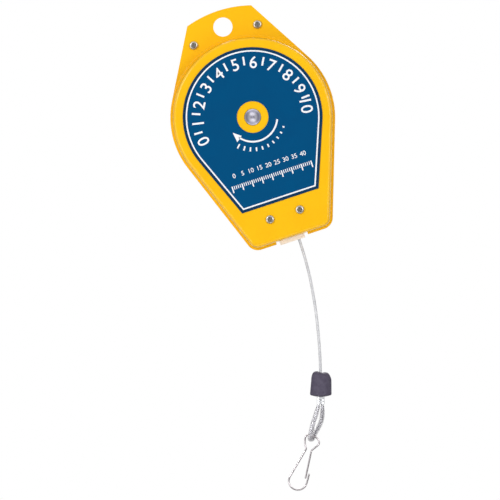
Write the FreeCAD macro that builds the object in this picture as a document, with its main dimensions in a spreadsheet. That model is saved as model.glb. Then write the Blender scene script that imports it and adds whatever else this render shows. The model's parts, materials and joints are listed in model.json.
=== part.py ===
"""Spring balancer: a sprung rope drum in a two-shell moulded case that hangs by a hole in its ear.

The row frame has its origin at the centre of the suspension hole, +Z up, the front face towards -Y
and the rope below. Most pieces are drawn about the drum's axle, which lies AXLE_DROP below that hole,
and are placed there. In a drawing on the upright plane, X is across and Y is height above the axle.
"""
import FreeCAD
import Part
import math
import os
import re
import Sketcher

SIZES = [
    ("hole_rise", 9.6, "suspension hole above the case's round rim"),
    ("drum_room", 7.7, "drum's flange to the case wall"),
    ("case_foot", 96.2, "axle down to the bottom edge"),
    ("side_lean", 19.7, "lean of the lower sides, degrees"),
    ("foot_corner", 9.0, "radius of the two bottom corners"),
    ("half_depth", 19.0, "parting plane to either broad face"),
    ("rim_half", 4.0, "thickness of each shell's rim"),
    ("rim_ledge", 1.6, "rim beyond the raised case wall"),
    ("rim_round", 0.5, "rounding of the rim's edge"),
    ("ear_thick", 3.0, "thickness of each shell's ear"),
    ("part_line", 0.25, "rounding beside the parting plane"),
    ("draft", 4.0, "mould draft of the case wall, degrees"),
    ("side_wall", 2.5, "thickness of the case wall"),
    ("face_wall", 2.5, "thickness of the broad faces"),
    ("face_round", 2.0, "rounding of the face's edge"),
    ("ear_rise", 22.3, "top of the ear above the case's round rim"),
    ("ear_half", 25.2, "half width of the ear's top"),
    ("hole_radius", 7.25, "suspension hole"),
    ("upper_screw_x", 25.1, "ear screws from the middle"),
    ("upper_screw_rise", 7.88, "ear screws outside the case's round rim"),
    ("lower_screw_x", 11.7, "foot screws from the middle"),
    ("lower_screw_up", 19.5, "foot screws above the bottom edge"),
    ("screw_radius", 1.5, "case screw shank"),
    ("screw_play", 0.1, "gap round a case screw or nut"),
    ("head_radius", 3.2, "case screw head"),
    ("head_height", 1.9, "case screw head"),
    ("head_round", 1.3, "rounding of a case screw's head"),
    ("recess_depth", 1.1, "crossed recess in a case screw"),
    ("recess_half", 1.9, "half length of the recess's arms"),
    ("recess_arm", 0.48, "half width of the recess's arms"),
    ("nut_across", 5.5, "case nut across its flats"),
    ("nut_height", 2.4, "case nut"),
    ("screw_boss", 4.0, "post round a foot screw, radius"),
    ("post_gap", 0.05, "posts and ribs short of the parting plane"),
    ("shaft_radius", 6.0, "shaft journal"),
    ("shaft_gap", 0.35, "gap round the shaft in each face"),
    ("running", 0.05, "radial running clearance of a bush"),
    ("seat", 0.03, "clearance of a seated piece"),
    ("boss_height", 2.5, "hub boss inside each face"),
    ("boss_wall", 3.0, "hub boss round its bush"),
    ("bush_wall", 2.0, "wall of a bush"),
    ("bush_flange", 1.0, "flange of a case bush"),
    ("flange_reach", 2.5, "flange beyond a case bush's body"),
    ("end_gap", 0.3, "end play of the drum and shaft"),
    ("ratchet_width", 3.0, "ratchet wheel and click spring"),
    ("ratchet_gap", 0.5, "drum cover to ratchet wheel"),
    ("ratchet_radius", 13.0, "tips of the ratchet teeth"),
    ("tooth_depth", 2.0, "ratchet tooth"),
    ("tooth_count", 12, "teeth on the ratchet wheel"),
    ("click_length", 26.0, "click spring"),
    ("click_thick", 0.6, "click spring"),
    ("click_boss", 9.0, "length of the boss that holds the click spring"),
    ("socket_across", 8.0, "hexagon socket in the shaft's rear end"),
    ("socket_depth", 6.0, "hexagon socket"),
    ("arbor_radius", 7.5, "shaft where the power spring starts"),
    ("web", 3.5, "web of the drum"),
    ("cover", 3.0, "drum cover"),
    ("groove_radius", 40.0, "bottom of the rope groove"),
    ("flange_height", 10.0, "flanges of the drum beyond the groove's bottom"),
    ("drum_rim", 3.0, "wall between rope groove and spring pocket"),
    ("cover_screws", 4, "screws in the drum cover"),
    ("cover_screw_out", 3.5, "those screws beyond the groove's bottom"),
    ("cover_margin", 3.5, "drum cover beyond its screws"),
    ("cover_screw", 1.1, "their shank radius"),
    ("cover_head", 2.1, "their head radius"),
    ("cover_head_height", 1.3, "their head height"),
    ("rope_radius", 1.05, "wire rope with its coating"),
    ("rope_play", 0.05, "gap beside a turn of rope"),
    ("ridge_ease", 0.125, "rounding of each turn beyond half its pitch"),
    ("turns", 6, "turns of rope on the drum"),
    ("strip", 0.5, "power spring strip thickness"),
    ("strip_turns", 9, "turns of the power spring"),
    ("strip_gap", 0.6, "power spring from web and cover"),
    ("pin_radius", 1.5, "spring anchor pin"),
    ("anchor_radius", 2.1, "rope anchor in the drum's flange"),
    ("guide_offset", -0.5, "middle of the rope guide, across"),
    ("guide_half", 9.8, "half width of the guide's neck"),
    ("guide_head", 2.4, "guide's head beyond its neck, each side"),
    ("guide_drop", 1.4, "guide below the case's bottom edge"),
    ("guide_height", 11.6, "guide from head to mouth"),
    ("guide_depth", 6.0, "half depth of the guide"),
    ("guide_play", 0.15, "gap round the guide"),
    ("guide_slot", 6.0, "half length of the guide's slot"),
    ("guide_slot_radius", 1.8, "half width of the slot"),
    ("guide_flare", 1.0, "rounding of the slot's mouth"),
    ("notch_gap", 2.4, "notch in the rim beside the guide"),
    ("rib", 1.5, "ribs that hold the guide"),
    ("plate_radius", 52.2, "name plate about the axle"),
    ("plate_rise", 30.2, "case's bottom edge up to the plate's"),
    ("plate_lean", 21.6, "lean of the plate's sides, degrees"),
    ("plate_hole", 11.85, "hole in the name plate"),
    ("plate_thick", 0.4, "name plate"),
    ("stopper_radius", 8.1, "rubber stopper at its base"),
    ("stopper_height", 19.3, "rubber stopper"),
    ("stopper_top", 4.6, "radius of the stopper's top"),
    ("stopper_shoulder", 12.0, "straight side of the stopper"),
    ("stopper_edge", 1.2, "rounding of the stopper's base"),
    ("stopper_dome", 10.0, "rounding of the stopper's shoulder"),
    ("stopper_dimple", 2.4, "hollow round the rope in the stopper's top"),
    ("stopper_lean", 18.3, "lean of the stopper, degrees"),
    ("ferrule_length", 5.5, "crimp ferrule"),
    ("ferrule_wall", 0.45, "crimp ferrule round the two strands"),
    ("sleeve_radius", 1.9, "clear sleeve on the loop"),
    ("sleeve_bore", 1.25, "clear sleeve's bore radius"),
    ("sleeve_start", 4.0, "ferrule to the clear sleeve's ends"),
    ("strand_gap", 0.4, "ferrule to the loop's ends"),
    ("hook_lean", 33.4, "lean of the snap hook, degrees"),
    ("hook_wire", 0.65, "radius of the hook's wire"),
    ("bow_radius", 6.8, "round end of the hook"),
    ("bow_drop", 35.4, "hook's bar down to the middle of its round end"),
    ("tip_up", 7.5, "hook's tip above the middle of its round end"),
    ("eye_bend", 1.0, "bends of the hook's eye"),
    ("gate_split", 0.3, "gap between the gate and the eye"),
]

# Routes chosen by hand: across, towards the back, and up from the axle.
LEAD_ROUTE = [
    (-29.5, 0, -31.7), (-17.6, 0, -55.2), (-6.6, 0, -75.4), (0.9, 0, -86.2), (4.3, 0, -91.6), (4.3, 0, -97.6),
]
ROPE_ROUTE = [
    (4.3, 0, -97.6), (4.3, 0, -111.0), (2.7, 0, -131.5), (-1.0, 0, -155.0),
    (-6.2, 0, -178.0), (-11.4, 0, -196.6), (-17.46, 0, -214.92),
]
LOOP_ROUTE = [
    (-20.47, 0, -219.72), (-24.6, -0.9, -226.0), (-28.8, -1.9, -231.4), (-31.9, -2.75, -236.5),
    (-35.3, -2.75, -242.4), (-33.4, 2.75, -243.5), (-29.7, 2.75, -239.3), (-24.0, 2.2, -234.3),
    (-20.3, 1.1, -228.5), (-17.91, 0, -220.56),
]
HOOK_BAR = (-32.84, -240.6)
# The hook's wire from its round end up to the eye and round it: across and down from its bar.
EYE_ROUTE = [
    (-1.5, 10.6), (-3.4, 7.6), (-4.5, 2.9), (-2.9, 0.0), (2.6, 0.0), (5.8, 2.1), (6.6, 5.0), (2.4, 11.0),
]
GATE_END = (3.6, 32.3)

doc = FreeCAD.newDocument("spring_balancer")
sheet = doc.addObject("Spreadsheet::Sheet", "Sizes")
for row, (alias, number, note) in enumerate(SIZES, start=1):
    sheet.set(f"A{row}", alias)
    sheet.set(f"B{row}", str(number))
    sheet.setAlias(f"B{row}", alias)
    sheet.set(f"C{row}", note)
doc.recompute()
ALIASES = {alias for alias, _, _ in SIZES}

# Sizes that follow from the others, as formulas of the sheet's names.
DRUM_RADIUS = "(groove_radius + flange_height)"
CASE_RADIUS = f"({DRUM_RADIUS} + drum_room + side_wall + rim_ledge)"
AXLE_DROP = f"({CASE_RADIUS} + hole_rise)"
EAR_RADIUS = f"({CASE_RADIUS} + ear_rise)"
UPPER_SCREW_UP = f"sqrt(({CASE_RADIUS} + upper_screw_rise)^2 - upper_screw_x^2)"
LOWER_SCREW_UP = "(lower_screw_up - case_foot)"
PLATE_FOOT = "(case_foot - plate_rise)"
COVER_SCREW_CIRCLE = "(groove_radius + cover_screw_out)"
COVER_RADIUS = f"({COVER_SCREW_CIRCLE} + cover_margin)"
HUB_END = "(half_depth - face_wall - boss_height)"
BUSH_END = f"({HUB_END} - bush_flange)"
DRUM_FRONT = f"(end_gap - {BUSH_END})"
RATCHET_REAR = f"({BUSH_END} - end_gap)"
RATCHET_FRONT = f"({RATCHET_REAR} - ratchet_width)"
COVER_REAR = f"({RATCHET_FRONT} - ratchet_gap)"
DRUM_REAR = f"({COVER_REAR} - cover)"
WEB_REAR = f"({DRUM_FRONT} + web)"
GROOVE_MID = f"(({DRUM_FRONT} + {DRUM_REAR}) / 2)"
ROPE_PITCH = "(2 * (rope_radius + rope_play / 2))"
GROOVE_HALF = f"(turns * {ROPE_PITCH} / 2 + rope_play)"
POCKET_RADIUS = "(groove_radius - drum_rim)"
BUSH_RADIUS = "(shaft_radius + bush_wall)"
BORE_RADIUS = "(shaft_radius + running)"
PIN_CIRCLE = f"({POCKET_RADIUS} - pin_radius - 2 * strip)"
ANCHOR_PLACE = f"{COVER_SCREW_CIRCLE} * cos(45)"
PIN_FRONT = f"({WEB_REAR} - web / 2 + seat)"
PIN_REAR = f"({DRUM_REAR} + cover / 2 - seat)"
GUIDE_MOUTH = "(case_foot + guide_drop)"
WALL_INSIDE = "(case_foot - rim_ledge - side_wall)"
GUIDE_SEAT = f"({WALL_INSIDE} - (guide_depth + guide_play) * tan(draft))"
GROOVE_REAR = f"({GROOVE_MID} + {GROOVE_HALF})"


def tied(formula):
    """A formula in the sheet's names, as FreeCAD's expressions write them."""
    return re.sub(r"[a-z_]+", lambda word: ("Sizes." if word[0] in ALIASES else "") + word[0], str(formula))


def value(formula):
    return float(sheet.evalExpression(tied(formula)))


def new_body(label):
    owner = doc.addObject("PartDesign::Body", label)
    owner.Label = label
    owner.setExpression("Placement.Base.z", tied(f"-{AXLE_DROP}"))
    return owner


def drawing(owner, role, ahead="0"):
    """A sketch on one of the body's own origin planes, moved along that plane's normal by ahead."""
    made = owner.newObject("Sketcher::SketchObject", f"{owner.Label}_drawing")
    plane = next(item for item in owner.Origin.OriginFeatures if item.Role == role)
    made.AttachmentSupport = (plane, [""])
    made.MapMode = "FlatFace"
    made.setExpression("AttachmentOffset.Base.z", tied(ahead))
    return made


def pin_down(made, geometry, point, x, y):
    """Ties one point of a sketch's geometry to formulas for its two coordinates."""
    for kind, formula, axis in (("DistanceX", x, -2), ("DistanceY", y, -1)):
        if str(formula) == "0":
            made.addConstraint(Sketcher.Constraint("PointOnObject", geometry, point, axis))
            continue
        index = made.addConstraint(Sketcher.Constraint(kind, -1, 1, geometry, point, value(formula)))
        made.setExpression(f"Constraints[{index}]", tied(formula))


def outline(made, corners):
    """A closed outline. Each corner is (x, y), or (x, y, radius, bulge) where an arc leads to the next.

    bulge is "out" for an arc that is centred left of the way to the next corner, "in" for one centred
    right of it, and "over" for one that is centred left and is more than half a circle.
    """
    places = [FreeCAD.Vector(value(corner[0]), value(corner[1]), 0) for corner in corners]
    starts = []
    for index, corner in enumerate(corners):
        here, there = places[index], places[(index + 1) % len(places)]
        if len(corner) == 2:
            made.addGeometry(Part.LineSegment(here, there), False)
            starts.append((1, 2))
            continue
        radius, chord = value(corner[2]), there - here
        across = FreeCAD.Vector(-chord.y, chord.x, 0).normalize()
        reach = math.sqrt(max(radius**2 - chord.Length**2 / 4, 0))
        side = {"out": 1, "in": -1, "over": -1}[corner[3]]
        middle = (here + there) * 0.5 + across * (side * reach)
        first, last = (there, here) if corner[3] == "in" else (here, there)
        turn = [math.atan2(end.y - middle.y, end.x - middle.x) for end in (first, last)]
        circle = Part.Circle(middle, FreeCAD.Vector(0, 0, 1), radius)
        made.addGeometry(Part.ArcOfCircle(circle, turn[0], turn[1]), False)
        starts.append((2, 1) if corner[3] == "in" else (1, 2))
        bound = made.addConstraint(Sketcher.Constraint("Radius", index, radius))
        made.setExpression(f"Constraints[{bound}]", tied(corner[2]))
    for index, corner in enumerate(corners):
        follower = (index + 1) % len(corners)
        made.addConstraint(
            Sketcher.Constraint("Coincident", index, starts[index][1], follower, starts[follower][0])
        )
        pin_down(made, index, starts[index][0], corner[0], corner[1])


def circles(made, places):
    """Circles, each (x, y, radius)."""
    for index, (x, y, radius) in enumerate(places):
        centre = FreeCAD.Vector(value(x), value(y), 0)
        made.addGeometry(Part.Circle(centre, FreeCAD.Vector(0, 0, 1), value(radius)), False)
        pin_down(made, index, 3, x, y)
        bound = made.addConstraint(Sketcher.Constraint("Radius", index, value(radius)))
        made.setExpression(f"Constraints[{bound}]", tied(radius))


def box_corners(left, right, low, high):
    return [(left, low), (right, low), (right, high), (left, high)]


def pad(owner, made, length, forward=True, taper=None, both=False):
    feature = owner.newObject("PartDesign::Pad", f"{owner.Label}_pad")
    feature.Profile = made
    feature.setExpression("Length", tied(length))
    feature.Reversed = not forward
    feature.Midplane = both
    if taper:
        feature.setExpression("TaperAngle", tied(taper))
    return feature


def pocket(owner, made, length=None, forward=False, taper=None):
    """A pocket as deep as length, or right through both ways without one."""
    feature = owner.newObject("PartDesign::Pocket", f"{owner.Label}_pocket")
    feature.Profile = made
    if length is None:
        feature.Type = "ThroughAll"
        feature.Midplane = True
    else:
        feature.setExpression("Length", tied(length))
        feature.Reversed = forward
    if taper:
        feature.setExpression("TaperAngle", tied(taper))
    return feature


def turned(label, corners, axle=True):
    """A body turned from a half profile of (radius, place along the axis)."""
    owner = new_body(label)
    made = drawing(owner, "XY_Plane" if axle else "XZ_Plane")
    outline(made, corners)
    feature = owner.newObject("PartDesign::Revolution", f"{label}_turning")
    feature.Profile = made
    feature.ReferenceAxis = (made, ["V_Axis"])
    feature.Angle = 360
    return owner


def rounded(owner, radius, chosen):
    """A fillet on the edges of the body's tip for which chosen(edge) holds."""
    doc.recompute()
    tip = owner.Tip
    names = [f"Edge{i}" for i, edge in enumerate(tip.Shape.Edges, start=1) if chosen(edge)]
    feature = owner.newObject("PartDesign::Fillet", f"{owner.Label}_rounding")
    feature.Base = (tip, names)
    feature.setExpression("Radius", tied(radius))
    return feature


def lies_at(edge, depth):
    """Whether an edge lies flat at that distance from the parting plane."""
    box = edge.BoundBox
    return box.YLength < 1e-3 and abs(abs(box.YMin) - depth) < 1e-3


def case_outline(inset):
    """The case's outline, moved inwards: a round top, leaning straight sides and a short foot."""
    radius, foot, corner = f"({CASE_RADIUS} - {inset})", f"(case_foot - {inset})", f"(foot_corner - {inset})"
    corner_x = f"(({radius} - {corner} - ({foot} - {corner}) * sin(side_lean)) / cos(side_lean))"
    right = f"{radius} * cos(side_lean)"
    corner_side = f"({corner_x} + {corner} * cos(side_lean))"
    side_low = f"-({foot} - {corner}) - {corner} * sin(side_lean)"
    side_top = f"-{radius} * sin(side_lean)"
    return [
        (right, side_top, radius, "over"),
        (f"-{right}", side_top),
        (f"-{corner_side}", side_low, corner, "out"),
        (f"-{corner_x}", f"-{foot}"),
        (corner_x, f"-{foot}", corner, "out"),
        (corner_side, side_low),
    ]


def ear_outline():
    """The ear: an arc about the axle, and sides that run down to touch the round case."""
    corner_up = f"sqrt({EAR_RADIUS}^2 - ear_half^2)"
    touch = f"(90 deg - acos({CASE_RADIUS} / {EAR_RADIUS}) - asin(ear_half / {EAR_RADIUS}))"
    touch_x, touch_up = f"{CASE_RADIUS} * cos({touch})", f"{CASE_RADIUS} * sin({touch})"
    return [
        ("ear_half", corner_up, EAR_RADIUS, "out"),
        ("-ear_half", corner_up),
        (f"-{touch_x}", touch_up),
        (touch_x, touch_up),
    ]


def both_sides(x, up, radius):
    return [(x, up, radius), (f"-{x}", up, radius)]


def shell(label, front):
    """One half of the case. Distances from the parting plane count towards this shell's broad face."""
    owner = new_body(label)
    sign = "" if front else "-"

    def at(depth):
        return drawing(owner, "XZ_Plane", f"{sign}({depth})")

    rim = at("0")
    outline(rim, case_outline("0"))
    pad(owner, rim, "rim_half", front)
    ear = at("0")
    outline(ear, ear_outline())
    pad(owner, ear, "ear_thick", front)
    rounded(owner, "rim_round", lambda edge: lies_at(edge, value("rim_half")))
    rounded(owner, "part_line", lambda edge: lies_at(edge, 0))
    dish = at("rim_half")
    outline(dish, case_outline("rim_ledge"))
    pad(owner, dish, "half_depth - rim_half", front, taper="-draft")
    rounded(owner, "face_round", lambda edge: lies_at(edge, value("half_depth")))
    hollow = at("0")
    outline(hollow, case_outline("(rim_ledge + side_wall)"))
    pocket(owner, hollow, "half_depth - face_wall", front, taper="-draft")

    bosses = at(HUB_END)
    circles(bosses, [("0", "0", f"{BUSH_RADIUS} + boss_wall")])
    pad(owner, bosses, "boss_height + face_wall / 2", front)
    posts = at("post_gap")
    circles(posts, both_sides("lower_screw_x", LOWER_SCREW_UP, "screw_boss"))
    pad(owner, posts, "half_depth - face_wall / 2", front)

    neck, head = "(guide_half + guide_play)", "(guide_half + guide_head + guide_play)"
    head_top = f"({GUIDE_MOUTH} - guide_height - guide_play)"
    for sides in (f"guide_offset - {head} - rib", f"guide_offset + {head}"):
        keeper = at("post_gap")
        outline(keeper, box_corners(sides, f"{sides} + rib", f"-{WALL_INSIDE} - side_wall / 2",
                                    f"-{head_top} + rib"))
        pad(owner, keeper, "half_depth - face_wall / 2", front)
    bar = at("guide_depth / 2")
    outline(bar, box_corners(f"guide_offset - {head} - rib / 2", f"guide_offset + {head} + rib / 2",
                             f"-{head_top}", f"-{head_top} + rib"))
    pad(owner, bar, "half_depth - guide_depth / 2 - face_wall / 2", front)
    stop = at("guide_depth + guide_play")
    outline(stop, box_corners("guide_offset - rib / 2", "guide_offset + rib / 2",
                              f"-{WALL_INSIDE} - side_wall / 2", f"-{head_top} + rib / 2"))
    pad(owner, stop, "half_depth - guide_depth - guide_play - face_wall / 2", front)

    window = at("0")
    outline(window, box_corners(f"guide_offset - {neck}", f"guide_offset + {neck}",
                                "-case_foot - rim_ledge", f"-{GUIDE_SEAT} + guide_play"))
    pocket(owner, window, "guide_depth + guide_play", front)
    notch = at("0")
    outline(notch, box_corners(f"guide_offset - {neck} - notch_gap", f"guide_offset + {neck} + notch_gap",
                               "-case_foot - rim_ledge", "-case_foot + rim_ledge"))
    pocket(owner, notch, "rim_half", front)

    through = at("0")
    circles(through, [("0", "0", "shaft_radius + shaft_gap"), ("0", AXLE_DROP, "hole_radius")]
            + both_sides("upper_screw_x", UPPER_SCREW_UP, "screw_radius + screw_play")
            + both_sides("lower_screw_x", LOWER_SCREW_UP, "screw_radius + screw_play"))
    pocket(owner, through)
    bush_seat = at(HUB_END)
    circles(bush_seat, [("0", "0", f"{BUSH_RADIUS} + seat")])
    pocket(owner, bush_seat, "boss_height + seat", front)
    return owner


def hexagon(made, x, up, across):
    """A hexagon about (x, up), given across its flats."""
    corner = f"(({across}) / 2 / cos(30))"
    outline(made, [(f"{x} + {corner} * cos({60 * k})", f"{up} + {corner} * sin({60 * k})")
                   for k in range(6)])


def nut_seats(owner):
    """Six-sided seats for the nuts, sunk in the rear shell's ear and broad face."""
    seats = (("upper_screw_x", UPPER_SCREW_UP, "ear_thick"), ("lower_screw_x", LOWER_SCREW_UP, "half_depth"))
    for x, up, face in seats:
        for sign in ("", "-"):
            seat = drawing(owner, "XZ_Plane", f"-{face}")
            hexagon(seat, f"{sign}{x}", up, "nut_across + 2 * screw_play")
            pocket(owner, seat, "nut_height + screw_play", forward=True)


def click_boss(owner):
    """A slotted post on the rear shell, which holds the root of the click spring."""
    middle = "(ratchet_radius - tooth_depth + click_thick * 1.5)"
    post = drawing(owner, "XZ_Plane", f"-{RATCHET_FRONT}")
    outline(post, box_corners("-click_length - click_boss / 4", "-click_length + click_boss * 3 / 4",
                              f"{middle} - click_boss / 2", f"{middle} + click_boss / 2"))
    pad(owner, post, f"half_depth - face_wall / 2 - {RATCHET_FRONT}", forward=False)
    slot = drawing(owner, "XZ_Plane", f"-{RATCHET_FRONT}")
    outline(slot, box_corners("-click_length - seat", "-click_length + click_boss",
                              f"{middle} - click_thick / 2 - seat", f"{middle} + click_thick / 2 + seat"))
    pocket(owner, slot, "ratchet_width + seat", forward=False)


def name_plate():
    """A thin plate with leaning sides, a round top and a hole round the shaft's end."""
    owner = new_body("name_plate")
    side_x, side_up = "plate_radius * cos(plate_lean)", "plate_radius * sin(plate_lean)"
    foot_x = f"((plate_radius - {PLATE_FOOT} * sin(plate_lean)) / cos(plate_lean))"
    plate = drawing(owner, "XZ_Plane", "half_depth")
    outline(plate, [
        (side_x, f"-{side_up}", "plate_radius", "over"),
        (f"-{side_x}", f"-{side_up}"),
        (f"-{foot_x}", f"-{PLATE_FOOT}"),
        (foot_x, f"-{PLATE_FOOT}"),
    ])
    pad(owner, plate, "plate_thick")
    hole = drawing(owner, "XZ_Plane", "half_depth")
    circles(hole, [("0", "0", "plate_hole")])
    pocket(owner, hole)


def guide():
    """The rope guide: a block with a wider head inside the case and a slot for the rope."""
    owner = new_body("rope_guide")
    neck_left, neck_right = "guide_offset - guide_half", "guide_offset + guide_half"
    head_low, head_high = f"-{GUIDE_SEAT} + guide_play", f"-({GUIDE_MOUTH} - guide_height)"
    block = drawing(owner, "XZ_Plane")
    outline(block, [
        (neck_left, f"-{GUIDE_MOUTH}"), (neck_right, f"-{GUIDE_MOUTH}"),
        (neck_right, head_low), (f"{neck_right} + guide_head", head_low),
        (f"{neck_right} + guide_head", head_high), (f"{neck_left} - guide_head", head_high),
        (f"{neck_left} - guide_head", head_low), (neck_left, head_low),
    ])
    pad(owner, block, "2 * guide_depth", both=True)
    left = "guide_offset - guide_slot + guide_slot_radius"
    right = "guide_offset + guide_slot - guide_slot_radius"
    slot = drawing(owner, "XY_Plane")
    outline(slot, box_corners(left, right, "-guide_slot_radius", "guide_slot_radius"))
    pocket(owner, slot)
    slot_ends = drawing(owner, "XY_Plane")
    circles(slot_ends, [(left, "0", "guide_slot_radius"), (right, "0", "guide_slot_radius")])
    pocket(owner, slot_ends)
    mouth = -value(GUIDE_MOUTH)
    inside = value("guide_slot") + 0.1
    rounded(owner, "guide_flare", lambda edge: abs(edge.BoundBox.ZMin - mouth) < 1e-3
            and edge.BoundBox.ZLength < 1e-3 and edge.BoundBox.YLength < 2 * value("guide_slot_radius") + 0.1
            and abs(edge.BoundBox.Center.x - value("guide_offset")) < inside
            and abs(edge.BoundBox.Center.y) < value("guide_slot_radius") + 0.1)


def bush(label, front):
    """A flanged bush in the hub boss of one shell."""
    sign = "-" if front else ""
    places = [(BUSH_END, "flange_reach"), (HUB_END, "flange_reach"), (HUB_END, "0"),
              ("(half_depth - face_wall)", "0")]
    outer = [(f"{BUSH_RADIUS} + {reach}", f"{sign}{place}") for place, reach in places]
    ring = [(BORE_RADIUS, f"{sign}(half_depth - face_wall)"), (BORE_RADIUS, f"{sign}{BUSH_END}")]
    turned(label, ring + outer)


def shaft():
    """The shaft: two journals, the arbor that the spring hooks into and a hexagon socket behind."""
    owner = turned("shaft", [
        ("0", "-half_depth - plate_thick"), ("shaft_radius", "-half_depth - plate_thick"),
        ("shaft_radius", f"{WEB_REAR} + end_gap"), ("arbor_radius", f"{WEB_REAR} + end_gap"),
        ("arbor_radius", f"{DRUM_REAR} - end_gap"), ("shaft_radius", f"{DRUM_REAR} - end_gap"),
        ("shaft_radius", "half_depth"), ("0", "half_depth"),
    ])
    slot = drawing(owner, "XZ_Plane", f"-{DRUM_REAR} + end_gap")
    outline(slot, box_corners("0", "arbor_radius + strip", "-strip", "strip"))
    pocket(owner, slot, f"{DRUM_REAR} - {WEB_REAR} - 2 * end_gap", forward=True)
    socket = drawing(owner, "XZ_Plane", "-half_depth")
    hexagon(socket, "0", "0", "socket_across")
    pocket(owner, socket, "socket_depth", forward=True)
    return owner


def ratchet_wheel():
    """Saw teeth: each has a face along the radius and a long straight back."""
    owner = new_body("ratchet_wheel")
    count = int(value("tooth_count"))
    wheel = drawing(owner, "XZ_Plane", f"-{RATCHET_REAR}")
    corners = []
    for tooth in range(count):
        angle = f"(90 + {tooth} * 360 / tooth_count)"
        for radius in ("ratchet_radius", "(ratchet_radius - tooth_depth)"):
            corners.append((f"{radius} * cos({angle})", f"{radius} * sin({angle})"))
    outline(wheel, corners)
    pad(owner, wheel, "ratchet_width")
    bore = drawing(owner, "XZ_Plane")
    circles(bore, [("0", "0", "shaft_radius")])
    pocket(owner, bore)


def click_spring():
    """A leaf that lies in its post and ends just short of a tooth's upright face."""
    owner = new_body("click_spring")
    low = "(ratchet_radius - tooth_depth + click_thick)"
    leaf = drawing(owner, "XZ_Plane", f"-{RATCHET_REAR}")
    outline(leaf, box_corners("-click_length", "-click_thick / 2", low, f"{low} + click_thick"))
    pad(owner, leaf, "ratchet_width")


def ring_of(owner, feature, count):
    """Copies of a feature round the axle."""
    pattern = owner.newObject("PartDesign::PolarPattern", f"{owner.Label}_ring")
    pattern.Originals = [feature]
    axis = next(item for item in owner.Origin.OriginFeatures if item.Role == "Y_Axis")
    pattern.Axis = (axis, [""])
    pattern.Angle = 360
    pattern.setExpression("Occurrences", tied(count))
    owner.Tip = pattern


def drum():
    """The drum: a rope groove between two flanges, round a pocket for the power spring."""
    groove_front = f"{GROOVE_MID} - {GROOVE_HALF}"
    owner = turned("drum", [
        (f"{BUSH_RADIUS} + seat", DRUM_FRONT), (DRUM_RADIUS, DRUM_FRONT),
        (DRUM_RADIUS, groove_front), ("groove_radius", groove_front),
        ("groove_radius", GROOVE_REAR), (DRUM_RADIUS, GROOVE_REAR),
        (DRUM_RADIUS, DRUM_REAR), (POCKET_RADIUS, DRUM_REAR),
        (POCKET_RADIUS, WEB_REAR), (f"{BUSH_RADIUS} + seat", WEB_REAR),
    ])
    hole = drawing(owner, "XZ_Plane", f"-{DRUM_REAR}")
    circles(hole, [(COVER_SCREW_CIRCLE, "0", "cover_screw")])
    cut = pocket(owner, hole, f"{DRUM_REAR} - {GROOVE_REAR}", forward=True)
    doc.recompute()
    ring_of(owner, cut, "cover_screws")
    anchor = drawing(owner, "XZ_Plane")
    circles(anchor, [(ANCHOR_PLACE, ANCHOR_PLACE, "anchor_radius + seat")])
    pocket(owner, anchor, DRUM_REAR)
    pin = drawing(owner, "XZ_Plane", f"-{WEB_REAR}")
    circles(pin, [("0", PIN_CIRCLE, "pin_radius + seat")])
    pocket(owner, pin, "web / 2", forward=True)


def drum_cover():
    """A disc that closes the spring's pocket, with sunk screws."""
    owner = turned("drum_cover", [
        (f"{BUSH_RADIUS} + seat", DRUM_REAR), (COVER_RADIUS, DRUM_REAR),
        (COVER_RADIUS, COVER_REAR), (f"{BUSH_RADIUS} + seat", COVER_REAR),
    ])
    hole = drawing(owner, "XZ_Plane", f"-{COVER_REAR}")
    circles(hole, [(COVER_SCREW_CIRCLE, "0", "cover_head + seat")])
    sunk = pocket(owner, hole, "cover_head_height + seat", forward=True)
    doc.recompute()
    ring_of(owner, sunk, "cover_screws")
    shank = drawing(owner, "XZ_Plane", f"-{COVER_REAR}")
    circles(shank, [(COVER_SCREW_CIRCLE, "0", "cover_screw + seat")])
    through = pocket(owner, shank, "cover", forward=True)
    doc.recompute()
    ring_of(owner, through, "cover_screws")
    pin = drawing(owner, "XZ_Plane", f"-{DRUM_REAR}")
    circles(pin, [("0", PIN_CIRCLE, "pin_radius + seat")])
    pocket(owner, pin, "cover / 2")


def drum_bush(label, front, rear):
    turned(label, [(BORE_RADIUS, front), (BUSH_RADIUS, front), (BUSH_RADIUS, rear), (BORE_RADIUS, rear)])


def group(label, members):
    """One node made of several separate solids."""
    made = doc.addObject("Part::Compound", label)
    made.Links = members
    made.Label = label
    return made


def mirrored(source):
    made = doc.addObject("Part::Mirroring", f"{source.Name}_mirrored")
    made.Source = source
    made.Normal = (1, 0, 0)
    return made


def case_screw(label, x, up, face):
    """A pan-head screw along Y with a crossed recess, from its seat on the front to its nut's far side."""
    owner = new_body(f"{label}_one")
    shank = drawing(owner, "XZ_Plane", f"-{face}")
    circles(shank, [(x, up, "screw_radius")])
    pad(owner, shank, f"{face} * 2")
    head = drawing(owner, "XZ_Plane", face)
    circles(head, [(x, up, "head_radius")])
    pad(owner, head, "head_height")
    top = value(face) + value("head_height")
    rounded(owner, "head_round", lambda edge: abs(edge.BoundBox.YMin + top) < 1e-3)
    cross = drawing(owner, "XZ_Plane", f"{face} + head_height")
    arm, reach = "recess_arm", "recess_half"
    quarter = [(arm, arm), (arm, reach), (f"-{arm}", reach)]
    corners = []
    for _ in range(4):
        corners += [(f"{x} + ({a})", f"{up} + ({b})") for a, b in quarter]
        quarter = [(f"-({b})", a) for a, b in quarter]
    outline(cross, corners)
    pocket(owner, cross, "recess_depth")
    return group(label, [owner, mirrored(owner)])


def case_nut(label, x, up, face):
    owner = new_body(label)
    nut = drawing(owner, "XZ_Plane", f"-{face}")
    hexagon(nut, x, up, "nut_across")
    pad(owner, nut, "nut_height")
    bore = drawing(owner, "XZ_Plane")
    circles(bore, [(x, up, "screw_radius + seat")])
    pocket(owner, bore)
    return owner


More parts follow.
